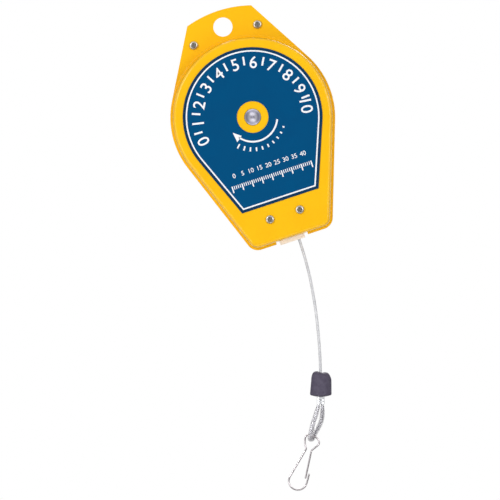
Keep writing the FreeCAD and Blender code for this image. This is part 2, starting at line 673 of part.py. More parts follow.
def cover_screw_set():
    """The sunk screws of the drum cover."""
    one = turned("cover_screw_one", [
        ("0", f"{GROOVE_REAR} + seat"), ("cover_screw - seat", f"{GROOVE_REAR} + seat"),
        ("cover_screw - seat", f"{COVER_REAR} - cover_head_height"),
        ("cover_head", f"{COVER_REAR} - cover_head_height"),
        ("cover_head", COVER_REAR), ("0", COVER_REAR),
    ])
    one.setExpression("Placement.Base.x", tied(COVER_SCREW_CIRCLE))
    members = [one]
    count = int(value("cover_screws"))
    for index in range(1, count):
        copy = doc.addObject("Part::Feature", f"cover_screw_{index}")
        turn = FreeCAD.Rotation(FreeCAD.Vector(0, 1, 0), 360 * index / count)
        doc.recompute()
        copy.Shape = one.Shape.copy()
        axle = FreeCAD.Vector(0, 0, -value(AXLE_DROP))
        copy.Placement = FreeCAD.Placement(FreeCAD.Vector(0, 0, 0), turn, axle).multiply(one.Placement)
        members.append(copy)
    group("cover_screws", members)


def rope_windings():
    """The turns of rope on the drum, as one ring with a ridge for each turn."""
    owner = new_body("rope_windings")
    made = drawing(owner, "XY_Plane")
    count = int(value("turns"))
    start = f"({GROOVE_MID} - turns * {ROPE_PITCH} / 2)"
    inner, crest = "(groove_radius + seat)", "(groove_radius + seat + rope_radius)"
    corners = [(inner, start)]
    for turn in range(count):
        corners.append((crest, f"{start} + {turn} * {ROPE_PITCH}", f"{ROPE_PITCH} / 2 + ridge_ease", "out"))
    corners += [(crest, f"{start} + turns * {ROPE_PITCH}"), (inner, f"{start} + turns * {ROPE_PITCH}")]
    outline(made, corners)
    feature = owner.newObject("PartDesign::Revolution", "rope_windings_turning")
    feature.Profile = made
    feature.ReferenceAxis = (made, ["V_Axis"])
    feature.Angle = 360


def pin(label, radius, x, up, front, rear):
    owner = new_body(label)
    made = drawing(owner, "XZ_Plane", f"-({rear})")
    circles(made, [(x, up, radius)])
    pad(owner, made, f"({rear}) - ({front})")


def row_point(point):
    """A point given across, back and up from the axle, in the row's frame."""
    return FreeCAD.Vector(point[0], point[1], point[2] - value(AXLE_DROP))


def arc_route(points, bend=None, trim=0):
    """A wire of straight runs joined by tangent arcs, and the arcs' radii.

    An arc takes 0.45 of the shorter run beside it, or has the radius bend where that is smaller. The
    wire starts and ends trim short of its end points.
    """
    start = points[0] + (points[1] - points[0]).normalize() * trim
    end = points[-1] + (points[-2] - points[-1]).normalize() * trim
    edges, radii = [], []
    for index in range(1, len(points) - 1):
        before, here, after = points[index - 1], points[index], points[index + 1]
        back, on = (before - here).normalize(), (after - here).normalize()
        half = (math.pi - back.getAngle(on)) / 2
        room = 0.45 * min((before - here).Length, (after - here).Length)
        if bend is not None:
            room = min(room, bend * math.tan(half))
        radius = room / math.tan(half)
        radii.append(round(radius, 1))
        enter, leave = here + back * room, here + on * room
        centre = here + (back + on).normalize() * (radius / math.cos(half))
        middle = centre + (here - centre).normalize() * radius
        edges.append(Part.LineSegment(start, enter).toShape())
        edges.append(Part.Arc(enter, middle, leave).toShape())
        start = leave
    edges.append(Part.LineSegment(start, end).toShape())
    return Part.Wire(edges), radii


def swept(wire, radius, bore=None):
    """A round bar or tube along a wire."""
    start = wire.Edges[0]
    place, along = start.valueAt(start.FirstParameter), start.tangentAt(start.FirstParameter)

    def bar(size):
        ring = Part.Wire([Part.Circle(place, along, size).toShape()])
        return wire.makePipeShell([ring], True, False)

    return bar(radius) if bore is None else bar(radius).cut(bar(bore))


def feature(label, shape, place=None):
    made = doc.addObject("Part::Feature", label)
    made.Shape = shape
    made.Label = label
    if place is not None:
        made.Placement = place
    return made


def rope(label, route, radius, bore=None, trim=0):
    """A length of rope, or a tube over one, along a route."""
    wire, radii = arc_route([row_point(point) for point in route], trim=trim)
    solid = swept(wire, radius, bore)
    section = math.pi * (radius**2 - (bore or 0) ** 2)
    print(label, "length", round(wire.Length, 1), "radii", radii,
          "volume share", round(solid.Volume / (section * wire.Length), 4))
    return feature(label, solid)


def power_spring():
    """A flat spiral of half circles, from a tail in the arbor's slot out to an eye round the anchor pin."""
    inner = value("arbor_radius") + value("strip")
    pin_up = value(PIN_CIRCLE)
    outer = pin_up - value("pin_radius") - value("strip") / 2 - value("seat")
    thick, count = value("strip"), 2 * int(value("strip_turns"))
    growth = (outer - inner) / count
    low = value(WEB_REAR) + value("strip_gap")
    high = value(DRUM_REAR) - value("strip_gap")

    def side(shift):
        """One face of the strip: half circles whose centres alternate about the axle, then the eye."""
        edges, x = [], inner + shift
        for index in range(count):
            sign = 1 if index % 2 == 0 else -1
            far = -sign * (inner + (index + 1) * growth + shift)
            middle = FreeCAD.Vector((x + far) / 2, low, 0)
            reach = abs(far - x) / 2
            top = middle + FreeCAD.Vector(0, 0, sign * reach)
            ends = FreeCAD.Vector(x, low, 0), FreeCAD.Vector(far, low, 0)
            edges.append(Part.Arc(ends[0], top, ends[1]).toShape())
            x = far
        slant = math.sqrt(0.5)
        corner, last = FreeCAD.Vector(x * slant, low, x * slant), FreeCAD.Vector(0, low, x)
        edges.append(Part.Arc(FreeCAD.Vector(x, low, 0), corner, last).toShape())
        eye = pin_up - x
        crown = FreeCAD.Vector(-eye * slant, low, pin_up + eye * slant)
        edges.append(Part.Arc(last, crown, FreeCAD.Vector(eye, low, pin_up)).toShape())
        return edges

    inside, outside = side(-thick / 2), side(thick / 2)
    ends = [(edge.valueAt(edge.FirstParameter), edge.valueAt(edge.LastParameter))
            for edge in (inside[0], outside[0], inside[-1], outside[-1])]
    caps = [Part.LineSegment(ends[0][0], ends[1][0]).toShape(),
            Part.LineSegment(ends[2][1], ends[3][1]).toShape()]
    strip = Part.Face(Part.Wire(Part.__sortEdges__(inside + outside + caps)))
    tail = Part.makeBox(inner - thick / 2 - thick, high - low, thick,
                        FreeCAD.Vector(thick * 2, low, -thick / 2))
    solid = strip.extrude(FreeCAD.Vector(0, high - low, 0)).fuse(tail).removeSplitter()
    place = FreeCAD.Placement(FreeCAD.Vector(0, 0, -value(AXLE_DROP)), FreeCAD.Rotation())
    return feature("power_spring", solid, place)


def stopper():
    """The rubber stopper: a bell with a dimple where the rope goes in and a bore for it."""
    owner = turned("stopper", [
        ("rope_radius + seat * 5", "-stopper_height"),
        ("stopper_radius - stopper_edge", "-stopper_height", "stopper_edge", "out"),
        ("stopper_radius", "-stopper_height + stopper_edge"),
        ("stopper_radius - seat * 5", "-stopper_height + stopper_shoulder",
         "stopper_dome", "out"),
        ("stopper_top", "0"),
        ("rope_radius + seat * 20", "0"),
        ("rope_radius + seat * 5", "-stopper_dimple"),
    ], axle=False)
    top = ROPE_ROUTE[-2]
    owner.setExpression("Placement.Base.x", str(top[0]))
    owner.setExpression("Placement.Base.z", tied(f"{top[2]} - {AXLE_DROP}"))
    owner.Placement.Rotation = FreeCAD.Rotation(FreeCAD.Vector(0, 1, 0), value("stopper_lean"))


def ferrule():
    """The crimp: an oval block round the two strands, between the stopper and the loop."""
    turn = FreeCAD.Rotation(FreeCAD.Vector(0, 1, 0), value("stopper_lean"))
    below = FreeCAD.Vector(0, 0, -value("stopper_height") - value("seat"))
    start = row_point(ROPE_ROUTE[-2]) + turn.multVec(below)
    half, deep = value("rope_radius"), value("rope_radius") + value("ferrule_wall")
    ring = [
        Part.LineSegment(FreeCAD.Vector(-half, -deep, 0), FreeCAD.Vector(half, -deep, 0)).toShape(),
        Part.Arc(FreeCAD.Vector(half, -deep, 0), FreeCAD.Vector(half + deep, 0, 0),
                 FreeCAD.Vector(half, deep, 0)).toShape(),
        Part.LineSegment(FreeCAD.Vector(half, deep, 0), FreeCAD.Vector(-half, deep, 0)).toShape(),
        Part.Arc(FreeCAD.Vector(-half, deep, 0), FreeCAD.Vector(-half - deep, 0, 0),
                 FreeCAD.Vector(-half, -deep, 0)).toShape(),
    ]
    length = value("ferrule_length")
    solid = Part.Face(Part.Wire(ring)).extrude(FreeCAD.Vector(0, 0, -length))
    return feature("ferrule", solid, FreeCAD.Placement(start, turn))


def hook_place():
    bar = row_point((HOOK_BAR[0], 0, HOOK_BAR[1]))
    return FreeCAD.Placement(bar, FreeCAD.Rotation(FreeCAD.Vector(0, 1, 0), value("hook_lean")))


def hook_point(x, down):
    return FreeCAD.Vector(x, 0, -down)


def snap_hook():
    """The hook's wire: tip, round end, long leg and eye, in the hook's own plane."""
    radius, drop = value("bow_radius"), value("bow_drop")
    centre_x = GATE_END[0] + 2 * value("hook_wire") + value("gate_split") * 2 - radius
    centre = hook_point(centre_x, drop)
    foot = hook_point(*EYE_ROUTE[0])
    away = foot - centre
    lean = math.atan2(away.z, away.x) + math.acos(radius / away.Length)
    leave = centre + FreeCAD.Vector(math.cos(lean), 0, math.sin(lean)) * radius
    tip, enter = centre + FreeCAD.Vector(radius, 0, value("tip_up")), centre + FreeCAD.Vector(radius, 0, 0)
    middle_angle = (lean - 2 * math.pi) / 2 if lean > 0 else lean / 2
    middle = centre + FreeCAD.Vector(math.cos(middle_angle), 0, math.sin(middle_angle)) * radius
    bow = [Part.LineSegment(tip, enter).toShape(), Part.Arc(enter, middle, leave).toShape()]
    eye, _ = arc_route([leave] + [hook_point(*point) for point in EYE_ROUTE], value("eye_bend"))
    wire = Part.Wire(bow + eye.Edges)
    return feature("snap_hook", swept(wire, value("hook_wire")), hook_place())


def hook_gate():
    """The springy leg that closes the hook, from below the eye to inside the tip."""
    eye_end = FreeCAD.Vector(EYE_ROUTE[-1][0], 0, -EYE_ROUTE[-1][1])
    far = hook_point(*GATE_END)
    along = (far - eye_end).normalize()
    start = eye_end + along * (value("hook_wire") + value("gate_split"))
    wire = Part.Wire([Part.LineSegment(start, far).toShape()])
    return feature("hook_gate", swept(wire, value("hook_wire")), hook_place())


shell("front_shell", True)
rear = shell("rear_shell", False)
click_boss(rear)
nut_seats(rear)
name_plate()
guide()
bush("front_bush", True)
bush("rear_bush", False)
shaft()
ratchet_wheel()
click_spring()
drum()
drum_cover()
drum_bush("front_drum_bush", DRUM_FRONT, WEB_REAR)
drum_bush("rear_drum_bush", DRUM_REAR, COVER_REAR)
cover_screw_set()
rope_windings()
pin("spring_pin", "pin_radius", "0", PIN_CIRCLE, PIN_FRONT, PIN_REAR)
pin("rope_anchor", "anchor_radius", ANCHOR_PLACE, ANCHOR_PLACE, GROOVE_REAR, DRUM_REAR)
power_spring()
case_screw("upper_screws", "upper_screw_x", UPPER_SCREW_UP, "ear_thick")
case_screw("lower_screws", "lower_screw_x", LOWER_SCREW_UP, "half_depth")
upper_nut = case_nut("upper_nut", "upper_screw_x", UPPER_SCREW_UP, "ear_thick")
lower_nut = case_nut("lower_nut", "lower_screw_x", LOWER_SCREW_UP, "half_depth")
group("case_nuts", [upper_nut, mirrored(upper_nut), lower_nut, mirrored(lower_nut)])
stopper()
ferrule()
rope("rope_lead", LEAD_ROUTE, value("rope_radius"))
rope("wire_rope", ROPE_ROUTE, value("rope_radius"))
rope("rope_loop", LOOP_ROUTE, value("rope_radius"), trim=value("strand_gap"))
rope("loop_sleeve", LOOP_ROUTE, value("sleeve_radius"), value("sleeve_bore"), value("sleeve_start"))
snap_hook()
hook_gate()

NODES = [
    "front_shell", "rear_shell", "name_plate", "upper_screws", "lower_screws", "case_nuts", "rope_guide",
    "front_bush", "rear_bush", "shaft", "ratchet_wheel", "click_spring", "drum", "drum_cover",
    "cover_screws", "front_drum_bush", "rear_drum_bush", "power_spring", "spring_pin", "rope_anchor",
    "rope_windings", "rope_lead", "wire_rope", "stopper", "ferrule", "rope_loop", "loop_sleeve",
    "snap_hook", "hook_gate",
]

doc.recompute()
for item in doc.Objects:
    if "Invalid" in item.State or "Error" in item.State:
        raise SystemExit(f"{item.Name} failed: {item.State}")
os.makedirs("parts", exist_ok=True)
for label in NODES:
    item = doc.getObjectsByLabel(label)[0]
    if item.Shape.isNull() or not item.Shape.isValid():
        raise SystemExit(f"{label} has no valid shape")
    item.Shape.exportStep(f"parts/{label}.step")
    box = item.Shape.BoundBox
    print(f"{label:16} solids {len(item.Shape.Solids)} volume {item.Shape.Volume:9.1f}",
          f"x {box.XMin:.1f} {box.XMax:.1f} y {box.YMin:.1f} {box.YMax:.1f} z {box.ZMin:.1f} {box.ZMax:.1f}")
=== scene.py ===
"""Dresses the spring balancer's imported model: finishes, the label's print, the cord and the hook."""
import json
import math
import bmesh
import bpy
import numpy as np
from bpy.props import FloatProperty, FloatVectorProperty, IntProperty, PointerProperty
from bpy.types import Operator, Panel, PropertyGroup
from mathutils import Matrix, Vector


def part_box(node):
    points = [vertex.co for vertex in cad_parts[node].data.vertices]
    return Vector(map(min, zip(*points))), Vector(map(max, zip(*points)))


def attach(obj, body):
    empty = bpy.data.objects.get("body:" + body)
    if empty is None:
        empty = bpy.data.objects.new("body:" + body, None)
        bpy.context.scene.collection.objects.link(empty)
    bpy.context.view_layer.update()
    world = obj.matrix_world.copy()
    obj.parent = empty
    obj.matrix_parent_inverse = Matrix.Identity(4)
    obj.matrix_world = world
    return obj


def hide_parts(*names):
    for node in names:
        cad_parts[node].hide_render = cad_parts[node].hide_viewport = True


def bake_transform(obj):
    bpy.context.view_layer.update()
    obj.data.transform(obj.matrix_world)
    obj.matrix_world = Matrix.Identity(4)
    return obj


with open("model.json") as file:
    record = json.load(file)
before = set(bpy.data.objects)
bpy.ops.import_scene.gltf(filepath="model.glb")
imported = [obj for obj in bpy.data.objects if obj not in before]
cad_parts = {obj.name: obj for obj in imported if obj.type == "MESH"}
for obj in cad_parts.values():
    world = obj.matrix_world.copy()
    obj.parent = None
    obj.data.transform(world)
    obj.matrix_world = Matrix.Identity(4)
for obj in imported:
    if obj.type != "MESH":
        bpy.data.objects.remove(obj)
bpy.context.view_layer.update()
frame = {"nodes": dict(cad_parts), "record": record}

bl_info = {
    "name": "Spring balancer",
    "version": (1, 0, 0),
    "blender": (4, 5, 0),
    "location": "3D View > Sidebar > Balancer",
    "description": "Builds the looks of a spring balancer on its packed model",
    "category": "Add Mesh",
}

MM = 0.001
LEAN = math.radians(18.3)                       # the cord's end hangs this far from the case's own upright
AXLE = (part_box("shaft")[0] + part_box("shaft")[1]) / 2
PLATE_LOW, PLATE_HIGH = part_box("name_plate")
CORD_DOWN = np.array((-math.sin(LEAN), 0.0, -math.cos(LEAN)))
CORD_SIDE = np.array((math.cos(LEAN), 0.0, -math.sin(LEAN)))
FRONT = np.array((0.0, -1.0, 0.0))
HOOK_BAR_SIDE = np.array((0.8348, 0.0, -0.5505))
HOOK_BAR = (-32.84, -240.6)                     # the hook's bar in millimetres, across and up from the axle
HOOK_LEAN = math.radians(33.4)                  # the hook hangs this far from the case's own upright
HOOK_WIRE = 0.65 * MM                           # radius of the hook's wire
SIDE_LEAN = math.radians(21.6)                  # the label's sides lean this far from upright
LABEL_HOLE = 11.85 * MM                         # radius of the hole in the label
PRINT_BACK, PRINT_FRONT = -0.01 * MM, -0.06 * MM    # white print: its depths from the plate's face
CAMERA_YAW, CAMERA_AWAY = math.radians(0.4), 5.0

# The cord's routes, given as points: across, towards the back and up from the axle, in millimetres.
ROPE_ROUTE = [
    (4.3, 0, -97.6), (4.3, 0, -111.0), (2.7, 0, -131.5), (-1.0, 0, -155.0),
    (-6.2, 0, -178.0), (-11.4, 0, -196.6), (-17.46, 0, -214.92),
]
LOOP_ROUTE = [
    (-20.47, 0, -219.72), (-24.6, -0.9, -226.0), (-28.8, -1.9, -231.4), (-31.9, -2.75, -236.5),
    (-35.3, -2.75, -242.4), (-33.4, 2.75, -243.5), (-29.7, 2.75, -239.3), (-24.0, 2.2, -234.3),
    (-20.3, 1.1, -228.5), (-17.91, 0, -220.56),
]
# The hook's wire from its tip round its bow and up to its eye: across and down from its bar.
HOOK_ROUTE = [
    (5.5, 27.9), (5.5, 31.5), (5.5, 37.5), (3.0, 41.1), (-1.3, 42.5), (-5.5, 41.2), (-8.1, 37.8),
    (-8.2, 34.6), (-7.4, 31.9), (-4.7, 22.2), (-2.2, 13.1), (-1.5, 10.4), (-3.0, 8.3), (-3.8, 6.2),
    (-4.5, 3.6), (-4.3, 0.9), (-2.4, 0.0), (-0.5, 0.0), (1.4, 0.0), (3.4, 0.2), (5.4, 1.6), (6.6, 3.2),
    (6.6, 5.2), (5.3, 7.0), (2.4, 11.0),
]
# The springy leg, drawn the same way, runs on from the eye's end down to inside the tip.
LEG_ROUTE = [(2.5, 10.8), (2.7, 14.0), (3.1, 22.0), (3.6, 32.3)]


# ---------------------------------------------------------------- colours, nodes and surfaces

def linear(code):
    """An sRGB hex colour as the linear numbers that a shader takes."""
    parts = [int(code[k:k + 2], 16) / 255 for k in (1, 3, 5)]
    return tuple([c / 12.92 if c <= 0.04045 else ((c + 0.055) / 1.055) ** 2.4 for c in parts] + [1.0])


def add(tree, kind, inputs=None, **settings):
    """Adds a node. Settings are its own choices; inputs gives a socket a constant or an output to link."""
    node = tree.nodes.new(kind)
    for name, choice in settings.items():
        setattr(node, name, choice)
    for name, source in (inputs or {}).items():
        if isinstance(source, bpy.types.NodeSocket):
            tree.links.new(source, node.inputs[name])
        else:
            node.inputs[name].default_value = source
    return node


def per(size_mm):
    """The scale of a texture on metre coordinates whose features are that many millimetres across."""
    return 1000.0 / size_mm


def new_material(name):
    """An empty material and its node tree."""
    made = bpy.data.materials.new(name)
    made.use_nodes = True
    made.node_tree.nodes.clear()
    return made, made.node_tree


def dress(node, material):
    """Gives a CAD node's object its finish."""
    slots = frame["nodes"][node].data.materials
    if len(slots) == 0:
        slots.append(material)
    for k in range(len(slots)):
        slots[k] = material


def rows_to_mesh(name, grid, along=None, ring=False):
    """A closed surface through a grid of points: rows by columns, the last column joined to the first.

    With ring the last row is joined to the first. Without it each end row closes in a pole at its mean.
    The UV map holds the column's share of a turn and, from along, the distance of the row in metres.
    """
    grid = np.asarray(grid, float)
    n, m = grid.shape[:2]
    along = np.arange(n, dtype=float) if along is None else np.asarray(along, float)
    i = np.arange(n if ring else n - 1)[:, None] + np.zeros((1, m), int)
    j = np.arange(m)[None, :] + np.zeros_like(i)
    below, beside = (i + 1) % n, (j + 1) % m
    quads = np.stack([i * m + j, i * m + beside, below * m + beside, below * m + j], -1).reshape(-1, 4)
    turn = np.stack([j, j + 1, j + 1, j], -1).reshape(-1) / m
    far = np.stack([along[i], along[i], along[below], along[below]], -1).reshape(-1)
    points, faces = grid.reshape(-1, 3), quads.tolist()
    uv = [np.stack([turn, far], -1)]
    if not ring:
        points = np.vstack([points, grid[0].mean(0), grid[-1].mean(0)])
        k = np.arange(m)
        for row, pole, order in ((0, n * m, (1, 0)), ((n - 1), n * m + 1, (0, 1))):
            pair = np.stack([k, (k + 1) % m], -1)[:, order] + row * m
            faces += np.column_stack([pair, np.full(m, pole)]).tolist()
            share = np.stack([k, k + 1], -1)[:, order] / m
            turns = np.column_stack([share, (k + 0.5) / m]).reshape(-1)
            uv.append(np.stack([turns, np.full(3 * m, along[row])], -1))
    mesh = bpy.data.meshes.new(name)
    mesh.from_pydata(points.tolist(), [], faces)
    mesh.uv_layers.new(name="UVMap").data.foreach_set("uv", np.vstack(uv).astype(np.float32).ravel())
    return finish_mesh(name, mesh)


def finish_mesh(name, mesh):
    """Turns a closed mesh's faces outwards, smooths all but its sharp edges, and makes its object."""
    made = bmesh.new()
    made.from_mesh(mesh)
    bmesh.ops.remove_doubles(made, verts=made.verts, dist=1e-7)
    bmesh.ops.recalc_face_normals(made, faces=made.faces)
    made.to_mesh(mesh)
    made.free()
    mesh.shade_smooth()
    mesh.set_sharp_from_angle(angle=math.radians(40))
    piece = bpy.data.objects.new(name, mesh)
    bpy.context.scene.collection.objects.link(piece)
    return piece


def put(piece, body, material, slot, *replaced):
    """Finishes a piece: its material, the body that it rides on, and the CAD nodes that it stands for."""
    piece.data.materials.append(material)
    if body:
        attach(piece, body)
    if replaced:
        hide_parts(*replaced)
    return piece


def drawn(shape):
    """A curve or text as it draws: its points and the corners of its faces. The curve itself is removed."""
    holder = bpy.data.objects.new(shape.name, shape)
    bpy.context.scene.collection.objects.link(holder)
    bpy.context.view_layer.update()
    mesh = bpy.data.meshes.new_from_object(holder.evaluated_get(bpy.context.evaluated_depsgraph_get()))
    points = np.zeros(len(mesh.vertices) * 3)
    mesh.vertices.foreach_get("co", points)
    faces = [list(face.vertices) for face in mesh.polygons]
    bpy.data.objects.remove(holder)
    bpy.data.meshes.remove(mesh)
    bpy.data.curves.remove(shape)
    return points.reshape(-1, 3), faces


def smooth_line(route, name):
    """The points of the smooth spline that a route's points pull into shape, closely spaced."""
    shape = bpy.data.curves.new(name, "CURVE")
    shape.dimensions = "3D"
    spline = shape.splines.new("NURBS")
    spline.points.add(len(route) - 1)
    for point, (x, y, up) in zip(spline.points, route):
        point.co = (AXLE.x + x * MM, y * MM, AXLE.z + up * MM, 1)
    spline.order_u = 3
    spline.use_endpoint_u = True
    shape.resolution_u = 48
    return drawn(shape)[0]


def evenly(line, step):
    """The same line with its points a step apart, and each point's distance from the start."""
    far = np.concatenate([[0], np.cumsum(np.linalg.norm(np.diff(line, axis=0), axis=1))])
    even = np.linspace(0, far[-1], max(2, int(round(far[-1] / step)) + 1))
    return np.stack([np.interp(even, far, line[:, k]) for k in range(3)], -1), even


def across(line, side):
    """Two unit vectors across a line at each point: the given side made square to it, and their cross."""
    ahead = np.gradient(line, axis=0)
    ahead /= np.linalg.norm(ahead, axis=1)[:, None]
    first = side - ahead * (ahead @ side)[:, None]
    first /= np.linalg.norm(first, axis=1)[:, None]
    return first, np.cross(ahead, first)


def tube(line, side, wide, deep=None, columns=24):
    """A section along a line: at turn a it lies wide * cos a to the side and deep * sin a across."""
    first, second = across(line, side)
    turn = 2 * math.pi * np.arange(columns) / columns
    wide = np.broadcast_to(wide, (len(line), columns))
    deep = wide if deep is None else np.broadcast_to(deep, (len(line), columns))
    return (line[:, None, :] + (wide * np.cos(turn))[:, :, None] * first[:, None, :]
            + (deep * np.sin(turn))[:, :, None] * second[:, None, :])


def strands(even, radius, lay, count, depth, columns=36):
    """The radius of laid strands: it falls by depth in each of count grooves, which turn once in a lay."""
    turn = 2 * math.pi * np.arange(columns) / columns
    groove = np.abs(np.sin(count / 2 * (turn[None, :] - 2 * math.pi * even[:, None] / lay)))
    return radius - depth * (1 - groove) ** 1.5


def hook_wire(name, route, body, material, node):
    """Bent wire along a route in the hook's plane, its two ends rounded over about a radius."""
    line = smooth_line([(HOOK_BAR[0] + x * math.cos(HOOK_LEAN) - down * math.sin(HOOK_LEAN), 0,
                         HOOK_BAR[1] - x * math.sin(HOOK_LEAN) - down * math.cos(HOOK_LEAN))
                        for x, down in route], name)
    line, even = evenly(line, 0.3 * MM)
    end = np.minimum(even, even[-1] - even) / HOOK_WIRE
    radius = HOOK_WIRE * np.sqrt(1 - (1 - np.clip(end + 0.1, 0, 1)) ** 2)
    wire = rows_to_mesh(name, tube(line, FRONT, radius[:, None], columns=20), even)
    put(wire, body, material, "nickel", node)


# ---------------------------------------------------------------- finishes

def moulded_plastic(name, colour, tint, rough, gloss, grain_mm=1.4, grain=0.02):
    """Injection-moulded plastic: an even colour, slightly cloudy, with a faint orange peel in its gloss."""
    made, tree = new_material(name)
    where = add(tree, "ShaderNodeTexCoord").outputs["Object"]
    cloud = add(tree, "ShaderNodeTexNoise", {"Vector": where, "Scale": per(26), "Detail": 3.0})
    shade = add(tree, "ShaderNodeMapRange", {"Value": cloud.outputs["Fac"], "From Min": 0.3,
                                             "From Max": 0.7})
    paint = add(tree, "ShaderNodeMix", {0: shade.outputs["Result"], 6: colour, 7: tint},
                data_type="RGBA")
    peel = add(tree, "ShaderNodeTexNoise", {"Vector": where, "Scale": per(grain_mm), "Detail": 2.0})
    dull = add(tree, "ShaderNodeMapRange", {"Value": peel.outputs["Fac"], "To Min": rough - 0.05,
                                            "To Max": rough + 0.05})
    bump = add(tree, "ShaderNodeBump", {"Height": peel.outputs["Fac"], "Strength": 0.35,
                                        "Distance": grain * MM})
    shader = add(tree, "ShaderNodeBsdfPrincipled", {
        "Base Color": paint.outputs[2], "Roughness": dull.outputs["Result"], "IOR": 1.5,
        "Specular IOR Level": gloss, "Normal": bump.outputs["Normal"]})
    add(tree, "ShaderNodeOutputMaterial", {"Surface": shader.outputs[0]})
    return made


def bare_metal(name, colour, dark, rough, marks_mm=0.8, marks=0.01):
    """Bare or plated metal: bright, with fine unevenness in its colour and in how sharply it reflects."""
    made, tree = new_material(name)
    where = add(tree, "ShaderNodeTexCoord").outputs["Object"]
    wear = add(tree, "ShaderNodeTexNoise", {"Vector": where, "Scale": per(marks_mm), "Detail": 4.0})
    paint = add(tree, "ShaderNodeMix", {0: wear.outputs["Fac"], 6: colour, 7: dark},
                data_type="RGBA")
    dull = add(tree, "ShaderNodeMapRange", {"Value": wear.outputs["Fac"], "To Min": rough - 0.06,
                                            "To Max": rough + 0.1})
    bump = add(tree, "ShaderNodeBump", {"Height": wear.outputs["Fac"], "Strength": 0.3,
                                        "Distance": marks * MM})
    shader = add(tree, "ShaderNodeBsdfPrincipled", {
        "Base Color": paint.outputs[2], "Metallic": 1.0, "Roughness": dull.outputs["Result"],
        "Normal": bump.outputs["Normal"]})
    add(tree, "ShaderNodeOutputMaterial", {"Surface": shader.outputs[0]})
    return made


def turned_steel(name, colour, dark):
    """Faced steel: rings left by the tool round the axle, which stretch the light across them."""
    made, tree = new_material(name)
    where = add(tree, "ShaderNodeTexCoord").outputs["Object"]
    middle = add(tree, "ShaderNodeMapping", {"Vector": where, "Location": (-AXLE.x, 0, -AXLE.z)})
    rings = add(tree, "ShaderNodeTexWave", {"Vector": middle.outputs[0], "Scale": per(0.7) / 20,
                                            "Distortion": 0.6, "Detail": 1.0}, wave_type="RINGS",
                rings_direction="Y")
    paint = add(tree, "ShaderNodeMix", {0: rings.outputs["Fac"], 6: dark, 7: colour},
                data_type="RGBA")
    bump = add(tree, "ShaderNodeBump", {"Height": rings.outputs["Fac"], "Strength": 0.3,
                                        "Distance": 0.01 * MM})
    tangent = add(tree, "ShaderNodeTangent", direction_type="RADIAL", axis="Y")
    shader = add(tree, "ShaderNodeBsdfPrincipled", {
        "Base Color": paint.outputs[2], "Metallic": 1.0, "Roughness": 0.42, "Anisotropic": 0.7,
        "Normal": bump.outputs["Normal"], "Tangent": tangent.outputs[0]})
    add(tree, "ShaderNodeOutputMaterial", {"Surface": shader.outputs[0]})
    return made


def printed_film(name, colour, tint, gloss):
    """Screen-printed polyester film: flat, even ink with a satin face and barely uneven density."""
    made, tree = new_material(name)
    where = add(tree, "ShaderNodeTexCoord").outputs["Object"]
    cloud = add(tree, "ShaderNodeTexNoise", {"Vector": where, "Scale": per(18), "Detail": 2.0})
    paint = add(tree, "ShaderNodeMix", {0: cloud.outputs["Fac"], 6: colour, 7: tint},
                data_type="RGBA")
    weave = add(tree, "ShaderNodeTexNoise", {"Vector": where, "Scale": per(0.5), "Detail": 1.0})
    dull = add(tree, "ShaderNodeMapRange", {"Value": weave.outputs["Fac"], "To Min": 0.4, "To Max": 0.55})
    shader = add(tree, "ShaderNodeBsdfPrincipled", {
        "Base Color": paint.outputs[2], "Roughness": dull.outputs["Result"], "IOR": 1.5,
        "Specular IOR Level": gloss})
    add(tree, "ShaderNodeOutputMaterial", {"Surface": shader.outputs[0]})
    return made


def laid_wire(name, colour, dark, lay, count):
    """Galvanised wire rope: grey zinc on fine wires, with painted shade darkening the grooves between the
    strands.
    """
    made, tree = new_material(name)
    where = add(tree, "ShaderNodeUVMap", uv_map="UVMap")
    parts = add(tree, "ShaderNodeSeparateXYZ", {0: where.outputs[0]})
    turns = add(tree, "ShaderNodeMath", {0: parts.outputs[1], 1: 1 / lay}, operation="MULTIPLY")
    lead = add(tree, "ShaderNodeMath", {0: parts.outputs[0], 1: turns.outputs[0]}, operation="SUBTRACT")
    phase = add(tree, "ShaderNodeMath", {0: lead.outputs[0], 1: count * math.pi}, operation="MULTIPLY")
    wave = add(tree, "ShaderNodeMath", {0: phase.outputs[0]}, operation="SINE")
    # Painted shade: darkest in the grooves between the strands, lightest on their crowns; the grime noise
    # varies it at random.
    painted_groove_shade = add(tree, "ShaderNodeMath", {0: wave.outputs[0]}, operation="ABSOLUTE")
    face = add(tree, "ShaderNodeTexCoord").outputs["Object"]
    grime = add(tree, "ShaderNodeTexNoise", {"Vector": face, "Scale": per(6), "Detail": 3.0})
    groove_shade_and_grime = add(tree, "ShaderNodeMath", {0: painted_groove_shade.outputs[0], 1: grime.outputs["Fac"], 2: 0.15},
                operation="MULTIPLY_ADD")
    paint = add(tree, "ShaderNodeMix", {0: groove_shade_and_grime.outputs[0], 6: dark, 7: colour},
                data_type="RGBA")
    fine = add(tree, "ShaderNodeMath", {0: phase.outputs[0], 1: 5.0}, operation="MULTIPLY")
    wires = add(tree, "ShaderNodeMath", {0: fine.outputs[0]}, operation="SINE")
    bump = add(tree, "ShaderNodeBump", {"Height": wires.outputs[0], "Strength": 0.4, "Distance": 0.03 * MM})
    shader = add(tree, "ShaderNodeBsdfPrincipled", {
        "Base Color": paint.outputs[2], "Metallic": 0.35, "Roughness": 0.45,
        "Normal": bump.outputs["Normal"]})
    add(tree, "ShaderNodeOutputMaterial", {"Surface": shader.outputs[0]})
    return made


